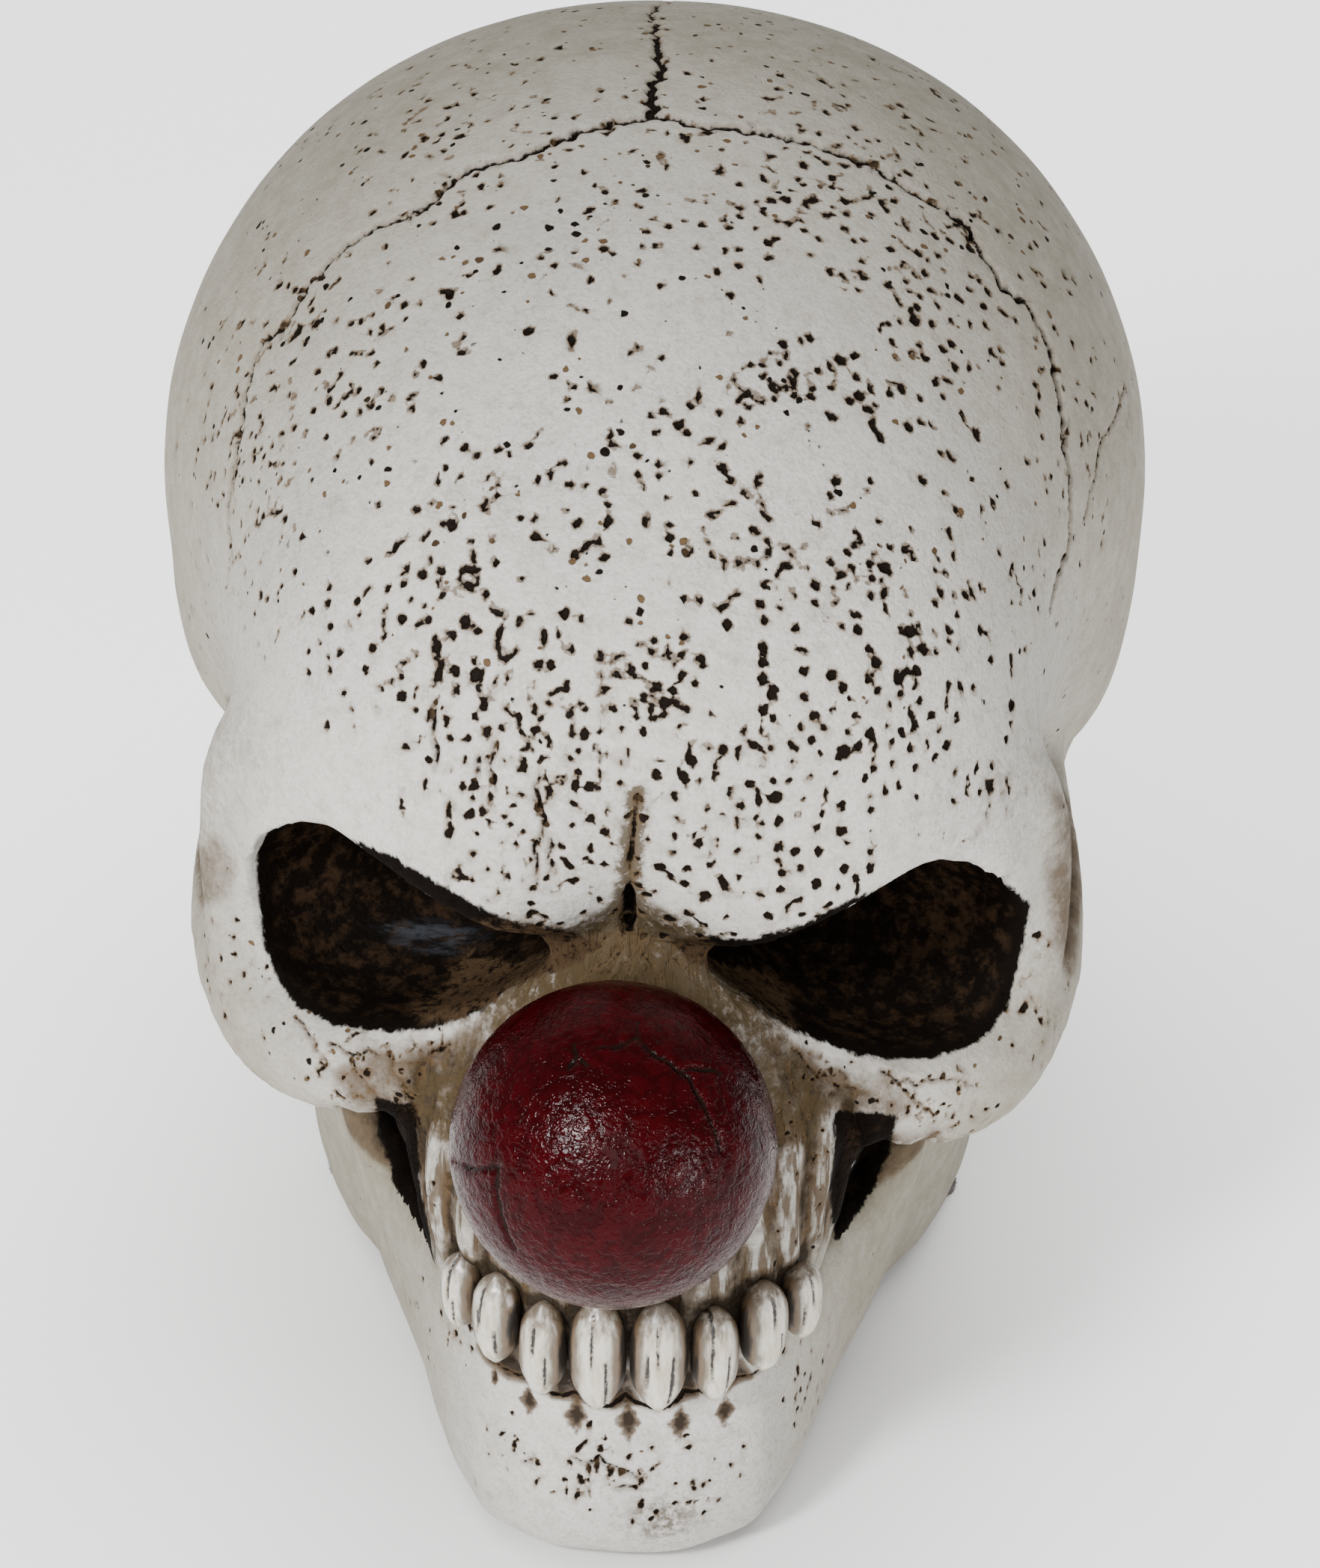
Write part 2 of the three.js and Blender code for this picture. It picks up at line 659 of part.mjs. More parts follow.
function lowerJaw() {
  const body = joined([lowerJawBody(16), ...mirroredPair(condyle)]);
  const cuts = joined([
    ...mirroredPair((side) => jawDowel(side, seat_gap, 12)),
    ...teeth.flatMap((t) => mirroredPair((side) => tooth(t, side, seat_gap, 6, 8))),
    upright(pad_radius + seat_gap, -overrun, pad_thickness + seat_gap, 0,
      place(pad_places(pad_shares.chin)).y, 20),
  ]);
  return body.subtract(cuts);
}

// Plug of the pouring hole, turned, with its flange below.
function plug() {
  const stem = pour_hole_radius - seat_gap;
  const low = pour.z - seat_gap - plug_flange_thickness;
  const top = pour.z - seat_gap;
  return turnedSolid([[0, low], [plug_flange_radius * 0.94, low],
    [plug_flange_radius, low + plug_flange_thickness * 0.3], [plug_flange_radius, top], [stem, top],
    [stem, pour.z + plug_stem_length * 0.7], [stem * 0.94, pour.z + plug_stem_length],
    [0, pour.z + plug_stem_length]], 28, new THREE.Vector3(pour.x, pour.y, 0));
}

function pad(where, side) {
  const spot = place(pad_places(where), side);
  return upright(pad_radius, 0, pad_thickness, spot.x, spot.y, 20);
}

const bone = () => new THREE.MeshStandardMaterial({ color: 0xd8d4c6, roughness: 0.62, metalness: 0 });
const ivory = () => new THREE.MeshStandardMaterial({ color: 0xe0d9c3, roughness: 0.4, metalness: 0 });
const lacquer = () => new THREE.MeshStandardMaterial({ color: 0x5a0d14, roughness: 0.22, metalness: 0 });
const birch = () => new THREE.MeshStandardMaterial({ color: 0xc79b62, roughness: 0.7, metalness: 0 });
const rubber = () => new THREE.MeshStandardMaterial({ color: 0x2a2a2c, roughness: 0.8, metalness: 0 });
const felt = () => new THREE.MeshStandardMaterial({ color: 0x3b3a37, roughness: 1, metalness: 0 });

const pieces = [
  ['skull_shell', skullShell(), bone()],
  ['lower_jaw', lowerJaw(), bone()],
  ['red_nose', ball(nose_radius, 28, 18).subtract(
    noseDowel(nose_dowel_radius + seat_gap, nose_dowel_length + 2 * seat_gap, 16)), lacquer()],
  ['nose_dowel', noseDowel(nose_dowel_radius, nose_dowel_length, 16), birch()],
  ['left_jaw_dowel', jawDowel(-1, 0, 12), birch()],
  ['right_jaw_dowel', jawDowel(1, 0, 12), birch()],
  ['base_plug', plug(), rubber()],
  ['chin_pad', pad(pad_shares.chin, 1), felt()],
  ['left_jaw_pad', pad(pad_shares.jaw_angle, -1), felt()],
  ['right_jaw_pad', pad(pad_shares.jaw_angle, 1), felt()],
  ...teeth.flatMap((t) => [
    [`left_${t.name}`, tooth(t, -1, 0, 8, 10), ivory()],
    [`right_${t.name}`, tooth(t, 1, 0, 8, 10), ivory()],
  ]),
];

// The origin goes under the middle of the whole figure.
const meshes = pieces.map(([name, solid, material]) => {
  const mesh = new THREE.Mesh(meshGeometry(solid), material);
  mesh.name = name;
  return mesh;
});
const bounds = new THREE.Box3();
meshes.forEach((mesh) => {
  mesh.geometry.computeBoundingBox();
  bounds.union(mesh.geometry.boundingBox);
});
const centre = bounds.getCenter(new THREE.Vector3());

const group = new THREE.Group();
meshes.forEach((mesh) => {
  mesh.geometry.translate(-centre.x, -centre.y, -bounds.min.z);
  group.add(mesh);
});

export default group;
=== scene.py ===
import math

import bmesh
import bpy
import numpy as np
from bpy.props import FloatProperty, FloatVectorProperty, IntProperty, PointerProperty
from mathutils import Matrix, Vector
from mathutils.bvhtree import BVHTree
from mathutils.kdtree import KDTree


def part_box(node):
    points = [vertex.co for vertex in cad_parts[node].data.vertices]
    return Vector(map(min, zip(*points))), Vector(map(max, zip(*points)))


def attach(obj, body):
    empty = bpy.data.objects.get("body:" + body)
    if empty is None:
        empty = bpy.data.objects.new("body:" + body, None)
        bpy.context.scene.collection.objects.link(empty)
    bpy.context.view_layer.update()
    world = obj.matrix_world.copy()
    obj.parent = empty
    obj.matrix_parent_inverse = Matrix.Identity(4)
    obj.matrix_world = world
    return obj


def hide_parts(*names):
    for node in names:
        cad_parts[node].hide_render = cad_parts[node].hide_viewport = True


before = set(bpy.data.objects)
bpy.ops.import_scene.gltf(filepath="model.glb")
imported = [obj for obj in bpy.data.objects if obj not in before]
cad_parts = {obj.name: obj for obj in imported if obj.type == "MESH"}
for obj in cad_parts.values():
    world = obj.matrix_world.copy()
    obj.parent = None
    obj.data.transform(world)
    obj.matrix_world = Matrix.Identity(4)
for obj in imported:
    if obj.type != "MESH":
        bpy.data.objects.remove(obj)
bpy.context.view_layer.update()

bl_info = {
    "name": "Clown Skull Ornament",
    "version": (1, 0, 0),
    "blender": (4, 5, 0),
    "location": "View3D > Sidebar > Ornament",
    "description": "Sculpts, paints and lights a cast clown skull ornament over its solid model",
    "category": "Object",
}

MM = 0.001

# Heights are from the floor. Depths are from the ear line, which runs just before the dowels that
# carry the jaw.
DOWEL_DEPTH = 3.0
EAR_Y = (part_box("right_jaw_dowel")[0][1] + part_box("right_jaw_dowel")[1][1]) / 2 / MM - DOWEL_DEPTH

TOOTH_ROW = [
    side + kind
    for side, kinds in (("left_", ("first_premolar", "canine", "lateral_incisor", "central_incisor")),
                        ("right_", ("central_incisor", "lateral_incisor", "canine", "first_premolar")))
    for kind in kinds
]


class Photograph:
    """The fitted view: where the camera stands and which ray runs through a pixel of the photograph."""

    width, height = 1764, 2096
    focal = 6506.0
    distance = 600.0
    pitch, yaw, roll = math.radians(30.0), math.radians(1.6), math.radians(0.8)
    target = Vector((0.0, 0.0, 80.0))
    target_pixel = (866.0, 904.0)

    def __init__(self):
        forward = Vector((-math.sin(self.yaw) * math.cos(self.pitch),
                          math.cos(self.yaw) * math.cos(self.pitch), -math.sin(self.pitch)))
        level = Vector((math.cos(self.yaw), math.sin(self.yaw), 0.0))
        rise = level.cross(forward)
        right = level * math.cos(self.roll) + rise * math.sin(self.roll)
        up = rise * math.cos(self.roll) - level * math.sin(self.roll)
        self.place = self.target - forward * self.distance
        middle = (self.width / 2, self.height / 2)
        aim = (forward * self.focal + right * (middle[0] - self.target_pixel[0])
               - up * (middle[1] - self.target_pixel[1]))
        self.forward = aim.normalized()
        self.right = (right - self.forward * right.dot(self.forward)).normalized()
        self.up = self.right.cross(self.forward)

    def ray(self, x, y):
        return (self.forward * self.focal + self.right * (x - self.width / 2)
                - self.up * (y - self.height / 2)).normalized()

    def matrix(self):
        columns = (self.right, self.up, -self.forward)
        turned = Matrix([[c[i] for c in columns] for i in range(3)]).to_4x4()
        place = self.place + Vector((0.0, EAR_Y, 0.0))
        return Matrix.Translation(place * MM) @ turned


PHOTO = Photograph()


def eased(low, high, value):
    """Runs smoothly from 0 where the value is at `low` to 1 where it is at `high`."""
    t = np.clip((np.asarray(value, float) - low) / (high - low), 0.0, 1.0)
    return t * t * (3.0 - 2.0 * t)


def hump(value, middle, reach):
    """A bell that is 1 at its middle."""
    return np.exp(-(((np.asarray(value, float) - middle) / reach) ** 2))


def joined_copy(node):
    """A copy of a solid's mesh with its loose triangles joined."""
    bm = bmesh.new()
    bm.from_mesh(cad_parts[node].data)
    bmesh.ops.remove_doubles(bm, verts=bm.verts, dist=0.002 * MM)
    mesh = bpy.data.meshes.new(node + "_copy")
    bm.to_mesh(mesh)
    bm.free()
    return mesh


def solid_tree(node):
    """The surface of a solid in millimetres from the ear line."""
    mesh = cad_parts[node].data
    spots = [(v.co.x / MM, v.co.y / MM - EAR_Y, v.co.z / MM) for v in mesh.vertices]
    return BVHTree.FromPolygons(spots, [tuple(p.vertices) for p in mesh.polygons])


def solid_box(node):
    """The two corners of a solid's box in millimetres from the ear line."""
    low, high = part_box(node)
    return (np.array(low) / MM - (0.0, EAR_Y, 0.0), np.array(high) / MM - (0.0, EAR_Y, 0.0))


def settle(piece):
    """Turns a piece with modifiers into a plain mesh."""
    graph = bpy.context.evaluated_depsgraph_get()
    mesh = bpy.data.meshes.new_from_object(piece.evaluated_get(graph))
    piece.modifiers.clear()
    old, piece.data = piece.data, mesh
    mesh.name = piece.name
    bpy.data.meshes.remove(old)
    return piece


def ordered_mesh(bm, name):
    """A mesh with its vertices and faces sorted by place, because a bevel leaves them in no fixed order."""
    corners = sorted(bm.verts, key=lambda v: tuple(round(c, 6) for c in v.co))
    number = {v: i for i, v in enumerate(corners)}
    faces = []
    for face in bm.faces:
        ring = [number[v] for v in face.verts]
        start = ring.index(min(ring))
        faces.append(ring[start:] + ring[:start])
    mesh = bpy.data.meshes.new(name)
    mesh.from_pydata([tuple(v.co) for v in corners], [], sorted(faces))
    return mesh


def with_modifier(piece, kind, **settings):
    modifier = piece.modifiers.new(kind.title(), kind)
    for key, value in settings.items():
        setattr(modifier, key, value)
    return settle(piece)


def new_piece(name, data):
    piece = bpy.data.objects.new(name, data)
    bpy.context.collection.objects.link(piece)
    return piece


def cast_copy(name, node, voxel):
    """An even skin over a solid, fine enough to sculpt."""
    return with_modifier(new_piece(name, joined_copy(node)), "REMESH", mode="VOXEL", voxel_size=voxel)


def finished(piece, material, replaced, body="root"):
    """Smooth shading, the piece's paint, its body and the solid that it stands for."""
    mesh = piece.data
    mesh.polygons.foreach_set("use_smooth", [True] * len(mesh.polygons))
    mesh.materials.clear()
    mesh.materials.append(material)
    mesh.polygons.foreach_set("material_index", [0] * len(mesh.polygons))
    mesh.update()
    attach(piece, body)
    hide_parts(replaced)
    return piece


def finder(spots):
    """A search tree over these places."""
    tree = KDTree(len(spots))
    for i, spot in enumerate(spots):
        tree.insert(spot, i)
    tree.balance()
    return tree


class Surface:
    """A piece's vertices in millimetres from the ear line, with what a sculptor does to them."""

    def __init__(self, piece):
        self.piece = piece
        self.read()

    def read(self):
        mesh = self.piece.data
        flat = np.empty(len(mesh.vertices) * 3)
        mesh.vertices.foreach_get("co", flat)
        self.spots = flat.reshape(-1, 3) / MM - (0.0, EAR_Y, 0.0)
        pairs = np.empty(len(mesh.edges) * 2, np.int64)
        mesh.edges.foreach_get("vertices", pairs)
        self.pairs = pairs.reshape(-1, 2)

    def write(self):
        mesh = self.piece.data
        mesh.vertices.foreach_set("co", ((self.spots + (0.0, EAR_Y, 0.0)) * MM).ravel())
        mesh.update()

    def normals(self):
        self.write()
        flat = np.empty(len(self.spots) * 3)
        self.piece.data.vertices.foreach_get("normal", flat)
        return flat.reshape(-1, 3)

    def average(self, values):
        """The mean over each vertex's neighbours."""
        count = len(self.spots)
        a, b = self.pairs[:, 0], self.pairs[:, 1]
        share = np.bincount(a, minlength=count) + np.bincount(b, minlength=count)
        values = values.reshape(count, -1)
        total = np.stack([np.bincount(a, values[b, k], count) + np.bincount(b, values[a, k], count)
                          for k in range(values.shape[1])], 1)
        return total / np.maximum(share, 1)[:, None]

    def smooth(self, mask, rounds, strength=0.5):
        pull = (np.clip(mask, 0.0, 1.0) * strength)[:, None]
        for _ in range(rounds):
            self.spots += (self.average(self.spots) - self.spots) * pull

    def push(self, amounts):
        self.spots += self.normals() * np.asarray(amounts)[:, None]

    def hollows(self, rounds):
        """How far each vertex lies below the mean surface round it, in millimetres."""
        mean = self.spots.copy()
        for _ in range(rounds):
            mean += (self.average(mean) - mean) * 0.6
        return np.einsum("ij,ij->i", mean - self.spots, self.normals())

    def refine(self, chosen):
        """Halves the edges of the faces whose vertices are all chosen, and marks the new vertices."""
        self.write()
        bm = bmesh.new()
        bm.from_mesh(self.piece.data)
        bm.verts.ensure_lookup_table()
        edges = set()
        for face in bm.faces:
            if all(chosen[v.index] for v in face.verts):
                edges.update(face.edges)
        before = len(bm.verts)
        bmesh.ops.subdivide_edges(bm, edges=[e for e in bm.edges if e in edges], cuts=1, use_grid_fill=True)
        bm.to_mesh(self.piece.data)
        bm.free()
        self.read()
        return np.arange(len(self.spots)) >= before

    def tree(self):
        self.write()
        spots = [tuple(s) for s in self.spots]
        return BVHTree.FromPolygons(spots, [tuple(p.vertices) for p in self.piece.data.polygons])

    def put(self, **layers):
        """Stores where the vertices are, and each layer of values under its name."""
        self.write()
        for name, values in layers.items():
            layer = self.piece.data.attributes.new(name, "FLOAT", "POINT")
            layer.data.foreach_set("value", np.asarray(values, np.float32))


def photo_spots(tree, pixels):
    """Where the rays through these pixels of the photograph meet the surface, with its normals."""
    found = []
    for x, y in pixels:
        spot, normal, _, _ = tree.ray_cast(PHOTO.place, PHOTO.ray(x, y))
        if spot is not None:
            found.append((np.array(spot), np.array(normal)))
    return found


def photo_line(tree, pixels):
    """Where the rays through these pixels of the photograph meet the surface."""
    return [spot for spot, _ in photo_spots(tree, pixels)]


def along(points, step):
    """Points at even steps along a line, with the share of the line run so far."""
    points = np.array(points, float)
    runs = np.concatenate([[0.0], np.cumsum(np.linalg.norm(np.diff(points, axis=0), axis=1))])
    places = np.linspace(0.0, runs[-1], max(2, int(round(runs[-1] / step)) + 1))
    spots = np.stack([np.interp(places, runs, points[:, k]) for k in range(points.shape[1])], 1)
    return spots, places / max(runs[-1], 1e-6)


def wandering(tree, points, step, swing, rng):
    """A line on the surface that swings from side to side as it goes."""
    spots, _ = along(points, step)
    turned = []
    drift = 0.0
    for i, spot in enumerate(spots):
        _, normal, _, _ = tree.find_nearest(Vector(spot))
        ahead = Vector(spots[min(i + 1, len(spots) - 1)] - spots[max(i - 1, 0)])
        side = normal.cross(ahead).normalized() if normal and ahead.length > 0 else Vector()
        drift = drift * 0.7 + rng.normal(0, 0.35)
        turn = (1 if i % 2 else -1) * rng.uniform(-0.1, 0.8) + drift
        calm = min(1.0, i / 2.0, (len(spots) - 1 - i) / 2.0)
        near, _, _, _ = tree.find_nearest(Vector(spot) + side * swing * turn * calm)
        turned.append(np.array(near) if near else spot)
    return turned


class Grooves:
    """Lines cut into a surface: each sample has a place, a half width and a depth."""

    SPACING = 0.2

    def __init__(self, tree, rng=None):
        self.tree = tree
        self.rng = rng
        self.samples = []

    def add(self, points, widths, depths):
        """Widths and depths run evenly from the first end of the line to the last."""
        if len(points) < 2:
            return
        spots, shares = along(points, self.SPACING)
        ends = np.linspace(0.0, 1.0, len(widths))
        half = np.interp(shares, ends, widths) / 2
        deep = np.interp(shares, ends, depths)
        self.samples += list(zip(spots, half, deep))

    def wander(self, points, step, swing, widths, depths):
        """A line that swings from side to side."""
        line = wandering(self.tree, points, step, swing, self.rng)
        self.add(line, widths, depths)
        return line

    def crack(self, cracks, *shape):
        """Cracks drawn in pixels of the photograph."""
        for pixels in cracks:
            self.wander(photo_line(self.tree, pixels), *shape)

    def read(self, form, reach=2.0):
        """For each vertex, the distance to the nearest line's edge and the depth of its cut."""
        count = len(form.spots)
        distance, cut = np.full(count, reach), np.zeros(count)
        if not self.samples:
            return distance, cut
        spots = np.array([s[0] for s in self.samples])
        tree = finder(spots)
        low, high = spots.min(0) - reach, spots.max(0) + reach
        inside = np.flatnonzero(((form.spots > low) & (form.spots < high)).all(1))
        for i in inside:
            _, nearest, gap = tree.find(form.spots[i])
            _, half, deep = self.samples[nearest]
            if gap - half < reach:
                distance[i] = gap - half
                fade = 0.3 + half
                t = min(max((gap - half * 0.2) / fade, 0.0), 1.0)
                cut[i] = deep * (1 - t * t * (3 - 2 * t))
        return distance, cut


class Pits:
    """Small dark pits: each is a spot with two directions on the surface and its half sizes."""

    TRIES = 3
    SPREAD = 0.33
    OVERRUN = 30

    def __init__(self, rng):
        self.rng = rng
        self.marks = []

    def scatter(self, tree, field, spacing=1.45):
        """Fills a field of the photograph: left, right, top, bottom, count, size, share of dashes.

        Pits are thickest in its middle and may lie a few pixels beyond its sides.
        """
        left, right, top, bottom, count, size, dashes = field
        rng = self.rng
        kept = []
        for _ in range(count * self.TRIES):
            if len(kept) >= count:
                break
            pixel = [np.clip(rng.normal((low + high) / 2, (high - low) * self.SPREAD),
                             low - self.OVERRUN, high + self.OVERRUN)
                     for low, high in ((left, right), (top, bottom))]
            found = photo_spots(tree, [pixel])
            if not found:
                continue
            spot, normal = found[0]
            if any(np.linalg.norm(spot - m[0]) < spacing * size for m in self.marks):
                continue
            kept.append(spot)
            self.mark(spot, normal, size * rng.lognormal(-0.12, 0.2), rng.random() < dashes)

    def mark(self, spot, normal, size, dash):
        rng = self.rng
        down = np.array((0.0, 0.0, -1.0)) + rng.normal(0, 0.35, 3)
        down = down - normal * down.dot(normal)
        down /= np.linalg.norm(down) + 1e-9
        across = np.cross(normal, down)
        length = size * (rng.uniform(1.4, 2.1) if dash else rng.uniform(0.95, 1.35))
        width = size * (rng.uniform(0.6, 0.8) if dash else rng.uniform(0.8, 1.1))
        self.marks.append((spot, down, across, length / 2, width / 2))
        if rng.random() < 0.35:
            shift = down * rng.normal(0, size * 0.4) + across * rng.normal(0, size * 0.4)
            self.marks.append((spot + shift, down, across, length * 0.26, width * 0.3))

    def read(self, form, reach=1.5):
        """For each vertex, the distance to the nearest pit's edge."""
        distance = np.full(len(form.spots), reach)
        tree = finder(form.spots)
        for spot, down, across, long, wide in self.marks:
            near = [i for _, i, _ in tree.find_range(spot, reach + long)]
            if near:
                away = form.spots[near] - spot
                u, v = away @ down / long, away @ across / wide
                edge = (np.sqrt(u * u + v * v) - 1) * min(long, wide)
                distance[near] = np.minimum(distance[near], edge)
        return distance


class Nodes:
    """A node tree that is written in short calls."""

    def __init__(self, tree):
        self.tree = tree

    def node(self, kind, entries=None, **settings):
        """A node with its settings, its entries linked to sockets or set to plain values."""
        made = self.tree.nodes.new(kind)
        for key, value in settings.items():
            setattr(made, key, value)
        for key, value in (entries or {}).items():
            self.feed(value, made.inputs[key])
        return made

    def feed(self, value, socket):
        """Links one socket to another, or sets a plain value; a colour is given full alpha."""
        if isinstance(value, bpy.types.NodeSocket):
            self.tree.links.new(value, socket)
        elif socket.type == "RGBA":
            socket.default_value = (*value, 1.0)
        else:
            socket.default_value = value

    def sum(self, operation, a, b=0.0, clamp=False):
        return self.node("ShaderNodeMath", {0: a, 1: b}, operation=operation, use_clamp=clamp).outputs[0]

    def times(self, a, b, clamp=False):
        return self.sum("MULTIPLY", a, b, clamp)

    def plus(self, a, b):
        return self.sum("ADD", a, b)

    def minus(self, a, b):
        return self.sum("SUBTRACT", a, b)

    def step(self, value, low, high, to_low=0.0, to_high=1.0):
        """Runs smoothly from one value where the entry is at `low` to another where it is at `high`."""
        entries = dict(enumerate((value, low, high, to_low, to_high)))
        return self.node("ShaderNodeMapRange", entries, interpolation_type="SMOOTHSTEP").outputs[0]


class Finish(Nodes):
    """A material that is painted coat by coat. Sizes are in millimetres, places are the object's own."""

    def __init__(self, name):
        self.material = bpy.data.materials.new(name)
        self.material.use_nodes = True
        super().__init__(self.material.node_tree)
        self.shader = self.tree.nodes["Principled BSDF"]
        self.place = self.node("ShaderNodeTexCoord").outputs["Object"]
        self.color = None

    def attribute(self, name):
        return self.node("ShaderNodeAttribute", attribute_name=name).outputs["Fac"]

    def stretched(self, x, y, z):
        return self.node("ShaderNodeMapping", {"Vector": self.place, "Scale": (x, y, z)}).outputs[0]

    def noise(self, size, detail=2.0, rough=0.5, place=None):
        """Soft noise whose features are this many millimetres across."""
        return self.node("ShaderNodeTexNoise", {
            "Vector": place or self.place, "Scale": 1.0 / (size * MM), "Detail": detail,
            "Roughness": rough}).outputs["Fac"]

    def bent(self, size, amount):
        """Object places pushed about by noise, so that what is drawn on them isn't round."""
        noise = self.node("ShaderNodeTexNoise", {"Vector": self.place, "Scale": 1.0 / (size * MM)})
        return self.node("ShaderNodeVectorMath", {
            0: noise.outputs["Color"], 1: (amount * MM,) * 3, 2: self.place},
            operation="MULTIPLY_ADD").outputs[0]

    def mix(self, share, a, b):
        """Between two colours. A Mix node has entries 6 and 7 and outlet 2 for them."""
        return self.node("ShaderNodeMix", {0: share, 6: a, 7: b}, data_type="RGBA").outputs[2]

    def base(self, share, a, b):
        """The first coat, mixed from two colours."""
        self.color = self.mix(share, a, b)

    def coat(self, share, color):
        """Lays a colour over what is painted so far."""
        self.color = self.mix(share, self.color, color)

    def bump(self, height, depth):
        """Fine relief of this many millimetres."""
        return self.node("ShaderNodeBump", {"Height": height, "Distance": depth * MM}).outputs[0]

    def done(self, rough, normal=None, **constants):
        """Gives the shader its coats and relief, and constants on its own sockets."""
        inputs = self.shader.inputs
        self.feed(self.color, inputs["Base Color"])
        self.feed(rough, inputs["Roughness"])
        if normal:
            self.feed(normal, inputs["Normal"])
        for key, value in constants.items():
            inputs[key.replace("_", " ")].default_value = value
        return self.material


class PieceTree(Nodes):
    """A Geometry Nodes tree that changes a piece and gives it its material."""

    def __init__(self, name, **settings):
        super().__init__(bpy.data.node_groups.new(name, "GeometryNodeTree"))
        face = self.tree.interface
        face.new_socket("Geometry", in_out="INPUT", socket_type="NodeSocketGeometry")
        for key, default in settings.items():
            kind = "NodeSocketInt" if isinstance(default, int) else "NodeSocketFloat"
            face.new_socket(key.replace("_", " "), in_out="INPUT", socket_type=kind).default_value = default
        face.new_socket("Material", in_out="INPUT", socket_type="NodeSocketMaterial")
        face.new_socket("Geometry", in_out="OUTPUT", socket_type="NodeSocketGeometry")
        self.given = self.node("NodeGroupInput").outputs

    def close(self, geometry):
        """Ends the tree in real geometry that has the piece's material."""
        real = self.node("GeometryNodeRealizeInstances", {0: geometry}).outputs[0]
        coat = self.node("GeometryNodeSetMaterial", {"Geometry": real, "Material": self.given["Material"]})
        self.node("NodeGroupOutput", {"Geometry": coat.outputs[0]})
        return self.tree


def scaled(color, share):
    return [min(1.0, channel * share) for channel in color]


